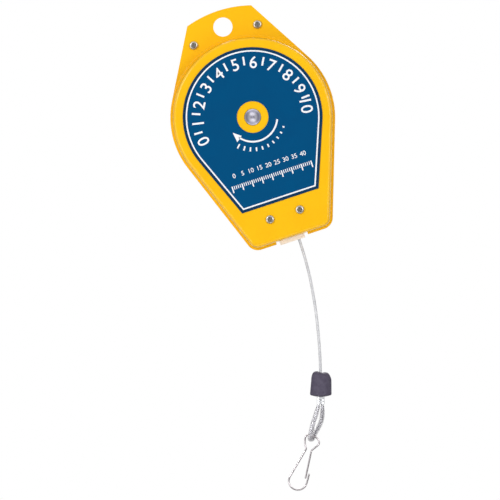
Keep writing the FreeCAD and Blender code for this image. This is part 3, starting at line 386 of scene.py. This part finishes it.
def moulded_rubber(name, colour, dusty):
    """Moulded rubber: matt and dark, with a dusty bloom in patches and a faintly rough skin."""
    made, tree = new_material(name)
    where = add(tree, "ShaderNodeTexCoord").outputs["Object"]
    bloom = add(tree, "ShaderNodeTexNoise", {"Vector": where, "Scale": per(4), "Detail": 5.0,
                                             "Roughness": 0.6})
    share = add(tree, "ShaderNodeMapRange", {"Value": bloom.outputs["Fac"], "From Min": 0.35,
                                             "From Max": 0.75})
    paint = add(tree, "ShaderNodeMix", {0: share.outputs["Result"], 6: colour, 7: dusty},
                data_type="RGBA")
    skin = add(tree, "ShaderNodeTexNoise", {"Vector": where, "Scale": per(0.6), "Detail": 3.0})
    bump = add(tree, "ShaderNodeBump", {"Height": skin.outputs["Fac"], "Strength": 0.5,
                                        "Distance": 0.08 * MM})
    shader = add(tree, "ShaderNodeBsdfPrincipled", {
        "Base Color": paint.outputs[2], "Roughness": 0.62, "IOR": 1.5, "Specular IOR Level": 0.35,
        "Normal": bump.outputs["Normal"]})
    add(tree, "ShaderNodeOutputMaterial", {"Surface": shader.outputs[0]})
    return made


def clear_vinyl(name):
    """Extruded clear PVC: it bends the light at its edges and veils what is inside a little."""
    made, tree = new_material(name)
    where = add(tree, "ShaderNodeTexCoord").outputs["Object"]
    waves = add(tree, "ShaderNodeTexNoise", {"Vector": where, "Scale": per(2.5), "Detail": 2.0})
    bump = add(tree, "ShaderNodeBump", {"Height": waves.outputs["Fac"], "Strength": 0.3,
                                        "Distance": 0.05 * MM})
    dull = add(tree, "ShaderNodeMapRange", {"Value": waves.outputs["Fac"], "To Min": 0.0, "To Max": 0.08})
    shader = add(tree, "ShaderNodeBsdfPrincipled", {
        "Base Color": linear("#FBFAFC"), "Roughness": dull.outputs["Result"], "IOR": 1.45,
        "Transmission Weight": 1.0, "Normal": bump.outputs["Normal"]})
    add(tree, "ShaderNodeOutputMaterial", {"Surface": shader.outputs[0]})
    return made


# ---------------------------------------------------------------- sizes and colours

class BalancerLook(PropertyGroup):
    """The colours that give the balancer its look."""
    case: FloatVectorProperty(name="Case", description="Colour of the moulded case", size=4, min=0, max=1,
                              subtype="COLOR", default=linear("#FFC50A"))
    ink: FloatVectorProperty(name="Label", description="Colour of the label's field", size=4, min=0, max=1,
                             subtype="COLOR", default=linear("#02507F"))


class BalancerSizes(PropertyGroup):
    """The sizes of the pieces that are made here."""
    rope: FloatProperty(name="Cord radius", description="Radius of the wire rope", default=1.05 * MM,
                        unit="LENGTH")
    lay: FloatProperty(name="Lay", description="Length in which a strand turns once round the rope",
                       default=12 * MM, unit="LENGTH")
    strands: IntProperty(name="Strands", description="Outer strands of the rope", default=6, min=3, max=8)
    sleeve: FloatProperty(name="Sleeve radius", description="Outside of the clear sleeve on the loop",
                          default=1.9 * MM, unit="LENGTH")
    bore: FloatProperty(name="Sleeve bore", description="Inside of the clear sleeve", default=1.25 * MM,
                        unit="LENGTH")
    stopper: FloatProperty(name="Stopper radius", description="Straight side of the rubber stopper",
                           default=8.1 * MM, unit="LENGTH")
    height: FloatProperty(name="Stopper height", description="Rubber stopper from base to top",
                          default=19.3 * MM, unit="LENGTH")
    figures: FloatProperty(name="Figure height", description="Height of the big figures on the label",
                           default=9.0 * MM, unit="LENGTH")


# ---------------------------------------------------------------- the stage and the cord

class BALANCER_OT_stage(Operator):
    """Adds the camera, the soft lights, the white surroundings and a pale floor"""
    bl_idname = "balancer.stage"
    bl_label = "Stage"

    def execute(self, context):
        scene = context.scene
        scene.view_settings.view_transform = "Standard"
        target = Vector((-0.0332, 0, -0.1651))
        away = Vector((math.sin(CAMERA_YAW), -math.cos(CAMERA_YAW), 0))
        right = Vector((math.sin(LEAN), 0, math.cos(LEAN))).cross(away).normalized()
        lens = bpy.data.cameras.new("camera")
        lens.lens, lens.sensor_width, lens.clip_end = 480.0, 36.0, 30.0
        camera = bpy.data.objects.new("camera", lens)
        camera.matrix_world = Matrix.Translation(target + away * CAMERA_AWAY) @ Matrix(
            (right, away.cross(right), away)).transposed().to_4x4()
        scene.collection.objects.link(camera)
        scene.camera = camera

        # Each lamp: where it stands from the target, how wide it is, and its share of full light.
        lamps = {
            "key": ((-1.1, -1.8, 1.2), 0.7, 0.32),
            "left": ((-1.6, -2.0, -0.1), 1.2, 0.18),
            "right": ((1.5, -2.0, 0.1), 1.2, 0.3),
            "under": ((-0.2, -1.6, -1.4), 1.2, 0.1),
            "back": ((0.6, 2.2, 1.2), 1.6, 0.4),
        }
        for name, (place, wide, share) in lamps.items():
            place = Vector(place)
            lamp = bpy.data.lights.new(name, "AREA")
            lamp.shape, lamp.size = "DISK", wide
            lamp.energy = share * math.pi ** 2 * place.length_squared
            holder = bpy.data.objects.new(name, lamp)
            holder.matrix_world = (Matrix.Translation(target + place)
                                   @ place.to_track_quat("Z", "Y").to_matrix().to_4x4())
            scene.collection.objects.link(holder)

        world = bpy.data.worlds.new("studio")
        scene.world = world
        world.use_nodes = True
        tree = world.node_tree
        tree.nodes.clear()
        ray = add(tree, "ShaderNodeLightPath")
        bent = add(tree, "ShaderNodeMath", {0: ray.outputs["Is Glossy Ray"],
                                            1: ray.outputs["Is Transmission Ray"]}, operation="MAXIMUM")
        # A reflection, or the view through clear plastic, sees a dark gap straight in front, a ring of
        # white panels round it, the dim room at the sides and the white background behind.
        way = add(tree, "ShaderNodeTexCoord").outputs["Generated"]
        parts = add(tree, "ShaderNodeSeparateXYZ", {0: way})
        depth = add(tree, "ShaderNodeMapRange", {"Value": parts.outputs[1], "From Min": -1.0,
                                                 "From Max": 1.0})
        room = add(tree, "ShaderNodeValToRGB", {0: depth.outputs[0]})
        stops = room.color_ramp.elements
        stops[0].position, stops[0].color = 0.02, (0.1, 0.1, 0.1, 1)
        stops[1].position, stops[1].color = 0.99, (1, 1, 1, 1)
        for place, level in ((0.12, 1.0), (0.62, 1.0), (0.74, 0.22), (0.93, 0.25)):
            stops.new(place).color = (level, level, level, 1)
        soft = add(tree, "ShaderNodeBackground", {"Color": linear("#FFFFFF"), "Strength": 0.34})
        shown = add(tree, "ShaderNodeBackground", {"Color": linear("#FFFFFF"), "Strength": 1.0})
        mirror = add(tree, "ShaderNodeBackground", {"Color": room.outputs[0], "Strength": 1.2})
        first = add(tree, "ShaderNodeMixShader", {0: bent.outputs[0], 1: soft.outputs[0],
                                                  2: mirror.outputs[0]})
        both = add(tree, "ShaderNodeMixShader", {0: ray.outputs["Is Camera Ray"], 1: first.outputs[0],
                                                 2: shown.outputs[0]})
        add(tree, "ShaderNodeOutputWorld", {"Surface": both.outputs[0]})

        # The floor is a flat block, far below the cord at its full length.
        floor = rows_to_mesh("floor", [[(x, y, up) for x, y in ((-4, -4), (4, -4), (4, 4), (-4, 4))]
                                       for up in (-1.75, -1.77)])
        made, tree = new_material("painted_floor")
        where = add(tree, "ShaderNodeTexCoord").outputs["Object"]
        cloud = add(tree, "ShaderNodeTexNoise", {"Vector": where, "Scale": per(300)})
        paint = add(tree, "ShaderNodeMix", {0: cloud.outputs["Fac"], 6: linear("#F4F4F2"),
                                            7: linear("#EFEFEE")}, data_type="RGBA")
        shader = add(tree, "ShaderNodeBsdfPrincipled", {"Base Color": paint.outputs[2], "Roughness": 0.8})
        add(tree, "ShaderNodeOutputMaterial", {"Surface": shader.outputs[0]})
        floor.data.materials.append(made)
        return {"FINISHED"}


class BALANCER_OT_cord(Operator):
    """Makes the wire rope, its loop and the clear sleeve over the loop"""
    bl_idname = "balancer.cord"
    bl_label = "Cord, loop and sleeve"

    def execute(self, context):
        sizes = context.scene.balancer_sizes
        # The darker grey is painted shade in the grooves between the strands.
        wire = laid_wire("galvanised_wire_rope", linear("#EDEDEF"), linear("#A3A3A8"), sizes.lay,
                         sizes.strands)
        step, groove = 0.4 * MM, 0.16 * MM
        line, even = evenly(smooth_line(ROPE_ROUTE, "rope_route"), step)
        radius = strands(even, sizes.rope, sizes.lay, sizes.strands, groove)
        rope = put(rows_to_mesh("laid_rope", tube(line, FRONT, radius, columns=36), even), None, wire,
                   "rope", "wire_rope")
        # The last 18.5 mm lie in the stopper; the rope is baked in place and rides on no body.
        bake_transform(rope)

        loop_line, far = evenly(smooth_line(LOOP_ROUTE, "loop_route"), step)
        radius = strands(far, sizes.rope, sizes.lay, sizes.strands, groove)
        loop = put(rows_to_mesh("laid_loop", tube(loop_line, HOOK_BAR_SIDE, radius, columns=36), far),
                   "rope_end", wire, "rope", "rope_loop")

        # The sleeve: a tube along the loop, pinched where its two ends meet under the ferrule.
        inner = (far > 0.8 * MM) & (far < far[-1] - 0.8 * MM)
        covered, place = loop_line[inner], far[inner]
        nearest = np.minimum(place - place[0], place[-1] - place) / (6 * MM)
        ease = np.clip(nearest, 0, 1) ** 2 * (3 - 2 * np.clip(nearest, 0, 1))
        pinch = (0.7 + 0.3 * ease)[:, None]
        outer = tube(covered, HOOK_BAR_SIDE, sizes.sleeve * pinch, sizes.sleeve, columns=28)
        inside = tube(covered, HOOK_BAR_SIDE, np.maximum(sizes.bore * pinch, sizes.rope * 0.9), sizes.bore,
                      columns=28)
        sleeve = put(rows_to_mesh("clear_sleeve", np.concatenate([outer, inside[::-1]]),
                                  np.concatenate([place, place[::-1]]), ring=True),
                     "rope_end", clear_vinyl("clear_pvc"), "sleeve", "loop_sleeve")
        return {"FINISHED"}


class BALANCER_OT_hook(Operator):
    """Makes the snap hook's bent wire and its springy leg"""
    bl_idname = "balancer.hook"
    bl_label = "Snap hook"

    def execute(self, context):
        nickel = bare_metal("nickel_plated_wire", linear("#CBC6C8"), linear("#ABA4A8"), 0.2, 3.0, 0.001)
        hook_wire("hook_wire", HOOK_ROUTE, "hook_body", nickel, "snap_hook")
        hook_wire("hook_leg", LEG_ROUTE, "gate_body", nickel, "hook_gate")
        return {"FINISHED"}


class BALANCER_OT_stopper(Operator):
    """Makes the rubber stopper on the rope and the crimped ferrule under it"""
    bl_idname = "balancer.stopper"
    bl_label = "Stopper and ferrule"

    def execute(self, context):
        sizes = context.scene.balancer_sizes
        base = np.array((AXLE.x + ROPE_ROUTE[-1][0] * MM, 0.0, AXLE.z + ROPE_ROUTE[-1][2] * MM))
        turn = 2 * math.pi * np.arange(72) / 72
        radius, height = sizes.stopper / MM, sizes.height / MM

        # The profile from the middle of the base, in millimetres: a bulge, a rounded edge, a side that
        # draws in, a dome and a hollow. It is fuller and higher on the left, where right is 0.
        right = (1 + np.cos(turn)) / 2
        edge, draw, shoulder, hollow, bore, floor = 1.2, 0.5, 12.6, 2.6, 1.1, 17.4
        foot, bend = np.linspace(0.6, radius - edge, 9), np.linspace(0, math.pi / 2, 9)[1:]
        side, dome = np.linspace(0, 1, 9)[1:], np.linspace(0, math.pi / 2, 28)[1:]
        dip = np.linspace(0, 1, 10)[1:]
        top = height - 0.75 * right
        foot, bend, side, dome, dip = [row[:, None] + 0 * turn for row in (foot, bend, side, dome, dip)]
        r = np.concatenate([foot, radius - edge + edge * np.sin(bend), radius - draw * side,
                            hollow + (radius - draw - hollow) * np.cos(dome) ** (0.6 + 0.15 * right),
                            hollow + (bore - hollow) * dip])
        h = np.concatenate([1.1 * (foot / foot.max()) ** 2, 1.1 + edge * (1 - np.cos(bend)),
                            1.1 + edge + (shoulder - 1.1 - edge) * side,
                            shoulder + (top - shoulder) * np.sin(dome) ** (1.0 + 0.6 * right),
                            top - (top - floor) * dip ** 1.5])
        # Two lobes stand left and right of the rope: twice round, cos 2a, growing over the dome.
        grow = np.clip((h - 15.5) / 3.0, 0, 1) ** 2 * np.clip((r - bore) / 2, 0, 1)
        h = np.minimum(h - 0.5 * grow * (1 - np.cos(2 * turn)), height)
        shift = 0.5 * np.clip(h / shoulder, 0, 1) * np.clip((r - bore) / 2, 0, 1)
        points = (base - CORD_DOWN * (h * MM)[..., None] + FRONT * (r * MM * np.sin(turn))[..., None]
                  + CORD_SIDE * ((r * np.cos(turn) + shift) * MM)[..., None])
        put(rows_to_mesh("rubber_stopper", points), "rope_end",
            moulded_rubber("moulded_rubber", linear("#463F52"), linear("#5A5466")), "rubber", "stopper")

        # The ferrule: a flattened tube, twice pinched by the crimping jaws, with a lip at each end.
        share = np.linspace(0, 1, 41)[:, None]
        jaws = 0.22 * (np.exp(-((share - 0.32) / 0.1) ** 2) + np.exp(-((share - 0.7) / 0.1) ** 2))
        lip = 0.12 * (np.exp(-(share / 0.06) ** 2) + np.exp(-((1 - share) / 0.06) ** 2))
        wide = (2.78 + lip + 0.4 * jaws) * MM
        deep = (1.42 + lip - jaws) * MM
        line = base + CORD_DOWN * (0.05 + 5.4 * share) * MM
        section = np.sign(np.cos(turn)) * np.abs(np.cos(turn)) ** 0.8
        points = (line[:, None, :] + CORD_SIDE * (wide * section)[..., None]
                  + FRONT * (deep * np.sin(turn))[..., None])
        put(rows_to_mesh("crimped_ferrule", points), "rope_end",
            bare_metal("crimped_aluminium", linear("#EDEEF0"), linear("#C9CBD0"), 0.35, 1.2, 0.02),
            "ferrule", "ferrule")
        return {"FINISHED"}


# ---------------------------------------------------------------- the label's print

def label_edge(inset, turn):
    """Points of the label's edge less an inset: the nearest of its round top, leaning sides and foot.

    The side's normal lies SIDE_LEAN below level, so past it the edge is at radius / cos of what is left.
    """
    lean = math.pi / 2 - SIDE_LEAN
    radius, foot = PLATE_HIGH.z - AXLE.z - inset, AXLE.z - PLATE_LOW.z - inset
    corner = math.atan((radius - foot * math.cos(lean)) / (foot * math.sin(lean)))
    turn = turn.copy()
    for side in (-1, 1):
        turn[np.argmin(np.abs(turn + math.pi / 2 - side * corner))] = side * corner - math.pi / 2
    low = np.abs(turn + math.pi / 2)
    side = np.where(low < lean, radius / np.cos(np.minimum(low, lean) - lean), radius)
    floor = np.where(low < 1.5, foot / np.cos(np.minimum(low, 1.5)), 1.0)
    far = np.minimum(side, floor)
    return far * np.cos(turn), far * np.sin(turn)


def film(name, outer, inner, front, material):
    """A thin closed ring of print between two closed lines, from just inside the plate to a front depth."""
    back = 0.02 * MM

    def at(pair, depth):
        u, v = pair
        return np.stack([AXLE.x + u, PLATE_LOW.y + np.full_like(u, depth), AXLE.z + v], -1)

    loops = [at(outer, back), at(outer, front), at(inner, front), at(inner, back)]
    return put(rows_to_mesh(name, np.stack(loops), ring=True), "housing", material, "plate")


def prism(name, outline, half, material):
    """A flat shape of print as a thin closed block. A band's outline folds back at half its points."""
    n = len(outline)
    depth = np.repeat([PRINT_BACK, PRINT_FRONT], n)
    flat = np.vstack([outline, outline])
    points = np.stack([AXLE.x + flat[:, 0], PLATE_LOW.y + depth, AXLE.z + flat[:, 1]], -1)
    k = np.arange(n)
    sides = np.stack([k, (k + 1) % n, (k + 1) % n + n, k + n], -1).tolist()
    if half:
        k = np.arange(half - 1)
        cross = np.stack([k, k + 1, n - 2 - k, n - 1 - k], -1)
        caps = cross.tolist() + (cross + n).tolist()
    else:
        caps = [list(range(n)), list(range(n, 2 * n))]
    mesh = bpy.data.meshes.new(name)
    mesh.from_pydata(points.tolist(), [], sides + caps)
    return put(finish_mesh(name, mesh), "housing", material, "plate")


def strokes(name, places, angles, lengths, widths, material):
    """Many straight strokes of print: eight corners of a block, turned and placed for each at once."""
    corner = np.array([(a, b, c) for a in (-0.5, 0.5) for b in (-0.5, 0.5) for c in (0, 1)])
    places, angles = np.asarray(places, float), np.asarray(angles, float)[:, None]
    far, wide = corner[:, 0] * np.asarray(lengths)[:, None], corner[:, 1] * np.asarray(widths)[:, None]
    u = places[:, :1] + far * np.cos(angles) - wide * np.sin(angles)
    v = places[:, 1:] + far * np.sin(angles) + wide * np.cos(angles)
    y = PLATE_LOW.y + PRINT_BACK + (PRINT_FRONT - PRINT_BACK) * corner[:, 2] + 0 * u
    block = np.array([(0, 1, 3, 2), (4, 6, 7, 5), (0, 4, 5, 1), (2, 3, 7, 6), (0, 2, 6, 4), (1, 5, 7, 3)])
    faces = (block[None] + 8 * np.arange(len(places))[:, None, None]).reshape(-1, 4)
    mesh = bpy.data.meshes.new(name)
    mesh.from_pydata(np.stack([AXLE.x + u, y, AXLE.z + v], -1).reshape(-1, 3).tolist(), [], faces.tolist())
    return put(finish_mesh(name, mesh), "housing", material, "plate")


def figures(name, marks, material):
    """Raised figures: each mark is its text, its middle on the label, its turn and its height."""
    shapes, points, faces, start = {}, [], [], 0
    for text in sorted({mark[0] for mark in marks} | {"0"}):
        shape = bpy.data.curves.new("figure", "FONT")
        shape.body, shape.align_x, shape.align_y, shape.offset = text, "CENTER", "CENTER", 0.006
        shape.extrude, shape.resolution_u = 0.5, 5
        shapes[text] = drawn(shape)
    tall = np.ptp(shapes["0"][0][:, 1])
    for text, u, v, turn, height in marks:
        co, made = shapes[text]
        x = (co[:, 0] - (co[:, 0].max() + co[:, 0].min()) / 2) * height / tall
        y = (co[:, 1] - (co[:, 1].max() + co[:, 1].min()) / 2) * height / tall
        points.append(np.stack([AXLE.x + u + x * math.cos(turn) - y * math.sin(turn),
                                PLATE_LOW.y + np.where(co[:, 2] > 0, PRINT_FRONT, PRINT_BACK),
                                AXLE.z + v + x * math.sin(turn) + y * math.cos(turn)], -1))
        faces += [[start + k for k in face] for face in made]
        start += len(co)
    mesh = bpy.data.meshes.new(name)
    mesh.from_pydata(np.vstack(points).tolist(), [], faces)
    return put(finish_mesh(name, mesh), "housing", material, "plate")


class BALANCER_OT_label(Operator):
    """Prints the label: its blue field, white border, arrow, scale figures and ruled lines"""
    bl_idname = "balancer.label"
    bl_label = "Label print"

    def execute(self, context):
        sizes, look = context.scene.balancer_sizes, context.scene.balancer_look
        ink = printed_film("printed_blue_film", look.ink, linear("#064A78"), 0.02)
        white = printed_film("printed_white_ink", linear("#FBFBFD"), linear("#F3F3F8"), 0.2)
        turn = np.linspace(-math.pi, math.pi, 360, endpoint=False) + 0.001
        hole = (LABEL_HOLE * np.cos(turn), LABEL_HOLE * np.sin(turn))
        film("label_field", label_edge(3.2 * MM, turn), hole, -0.03 * MM, ink)
        film("label_border", label_edge(2.2 * MM, turn), label_edge(3.25 * MM, turn), -0.05 * MM, white)

        # The arrow: a band 1.3 wide along an arc of radius 18.4, and a head with straight sides.
        angle = np.radians(np.linspace(-23.4, -141.5, 60))
        arc = [(18.4 + k) * MM * np.stack([np.cos(angle), np.sin(angle)], -1) for k in (-0.65, 0.65)]
        prism("label_arrow", np.concatenate([arc[0], arc[1][::-1]]), len(angle), white)
        head = MM * np.array([(-17.8, -6.5), (-12.2, -10.8), (-13.9, -12.0), (-14.9, -12.8), (-16.8, -14.2)])
        prism("label_arrow_head", head, 0, white)

        # The big scale: figures from 0 to 10 round the top, each a stroke apart.
        ring = 41.0 * MM
        spots = np.radians(np.linspace(188, -7, 11))
        marks = [(str(k), ring * math.cos(a), ring * math.sin(a), a - math.pi / 2, sizes.figures)
                 for k, a in enumerate(spots)]
        figures("label_figures", marks, white)
        mid = (spots[1:] + spots[:-1]) / 2
        out = 42.3 * MM
        strokes("label_scale", np.stack([out * np.cos(mid), out * np.sin(mid)], -1), mid,
                np.full(10, 6.4 * MM), np.full(10, 1.4 * MM), white)

        # Strokes that grow along the arrow's way, under its band.
        angle = np.radians(np.linspace(-36, -134, 10))
        long = np.linspace(1.6, 3.6, 10) * MM
        out = 24.2 * MM + 0 * long
        strokes("label_growth", np.stack([out * np.cos(angle), out * np.sin(angle)], -1), angle, long,
                np.full(10, 1.1 * MM), white)

        # Two ruled lines: small figures above, and a rule with longer fifths below.
        marks = [(str(k * 5), (-27 + 6.75 * k) * MM, -37.5 * MM, 0.0, 3.4 * MM) for k in range(9)]
        figures("label_small_figures", marks, white)
        u = np.linspace(-31, 31, 41) * MM
        long = np.where(np.arange(41) % 5 == 0, 5.0, 2.6) * MM
        strokes("label_rule", np.stack([u, -44.6 * MM - long / 2], -1), np.full(41, math.pi / 2), long,
                np.where(np.arange(41) % 5 == 0, 0.9, 0.6) * MM, white)
        return {"FINISHED"}


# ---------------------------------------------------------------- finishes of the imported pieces

class BALANCER_OT_finishes(Operator):
    """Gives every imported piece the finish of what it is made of"""
    bl_idname = "balancer.finishes"
    bl_label = "Finishes"

    def execute(self, context):
        look = context.scene.balancer_look
        finish = {
            # Injection-moulded ABS: strong even yellow, satin, a little orange peel.
            "case": moulded_plastic("moulded_abs", look.case, linear("#FDBF06"), 0.24, 0.4),
            # The plate under the print: the same film in its dark edge colour.
            "plate": printed_film("printed_navy_film", linear("#0E3152"), linear("#123F62"), 0.03),
            # Zinc-plated steel: grey, softly bright, slightly patchy.
            "zinc": bare_metal("zinc_plated_steel", linear("#D8D2C8"), linear("#8E8983"), 0.32, 0.9),
            # Acetal: milky, faintly warm, waxy.
            "guide": moulded_plastic("moulded_acetal", linear("#FFF8EF"), linear("#FBF0E6"), 0.4, 0.4, 2.0,
                                     0.01),
            # Sintered bronze: dull, pitted, brown-gold.
            "bronze": bare_metal("sintered_bronze", linear("#B98A55"), linear("#7D5A38"), 0.5, 0.4, 0.03),
            # The shaft, faced on a lathe: cool grey, its light stretched across the tool's rings.
            "turned_steel": turned_steel("turned_steel", linear("#DCDAE6"), linear("#A3A2B4")),
            # Blued spring steel: dark with a straw and blue cast, smooth.
            "spring_steel": bare_metal("blued_spring_steel", linear("#5C6678"), linear("#3A4252"), 0.3, 3.0,
                                       0.004),
            # Filled nylon: dark grey, matt.
            "drum": moulded_plastic("moulded_nylon", linear("#3C3D40"), linear("#333437"), 0.5, 0.4),
            # The rope inside the case: zinc-grey and rough.
            "rope": bare_metal("zinc_coated_rope", linear("#CFCFD2"), linear("#909096"), 0.4, 0.6, 0.05),
            # These four stand on the nodes that the modelled cord and hook replace.
            "rubber": moulded_rubber("moulded_rubber_inside", linear("#4B4656"), linear("#5F5A6B")),
            "ferrule": bare_metal("aluminium", linear("#E6E7EA"), linear("#C4C6CB"), 0.35),
            "sleeve": clear_vinyl("clear_pvc_inside"),
            "nickel": bare_metal("nickel_plate", linear("#F1EFEF"), linear("#C9C5C5"), 0.16, 1.5, 0.004),
        }
        for part in frame["record"]["subparts"]:
            dress(part["node"], finish[part["material_slot"]])
        return {"FINISHED"}


class BALANCER_PT_panel(Panel):
    """Lists the balancer's colours, sizes and pieces"""
    bl_idname = "BALANCER_PT_panel"
    bl_label = "Spring balancer"
    bl_space_type = "VIEW_3D"
    bl_region_type = "UI"
    bl_category = "Balancer"

    def draw(self, context):
        for group in (context.scene.balancer_look, context.scene.balancer_sizes):
            for name in group.bl_rna.properties.keys():
                if name not in ("rna_type", "name"):
                    self.layout.prop(group, name)
        for operator in OPERATORS:
            self.layout.operator(operator.bl_idname)


OPERATORS = (BALANCER_OT_stage, BALANCER_OT_stopper, BALANCER_OT_cord, BALANCER_OT_hook, BALANCER_OT_label,
             BALANCER_OT_finishes)
CLASSES = (BalancerLook, BalancerSizes) + OPERATORS + (BALANCER_PT_panel,)


def register():
    for made in CLASSES:
        bpy.utils.register_class(made)
    bpy.types.Scene.balancer_look = PointerProperty(type=BalancerLook)
    bpy.types.Scene.balancer_sizes = PointerProperty(type=BalancerSizes)


def unregister():
    del bpy.types.Scene.balancer_sizes
    del bpy.types.Scene.balancer_look
    for made in reversed(CLASSES):
        bpy.utils.unregister_class(made)


def main():
    """Builds every piece in order."""
    register()
    bpy.ops.balancer.stage()
    bpy.ops.balancer.stopper()
    bpy.ops.balancer.cord()
    bpy.ops.balancer.hook()
    bpy.ops.balancer.label()
    bpy.ops.balancer.finishes()


if __name__ == "__main__":
    main()
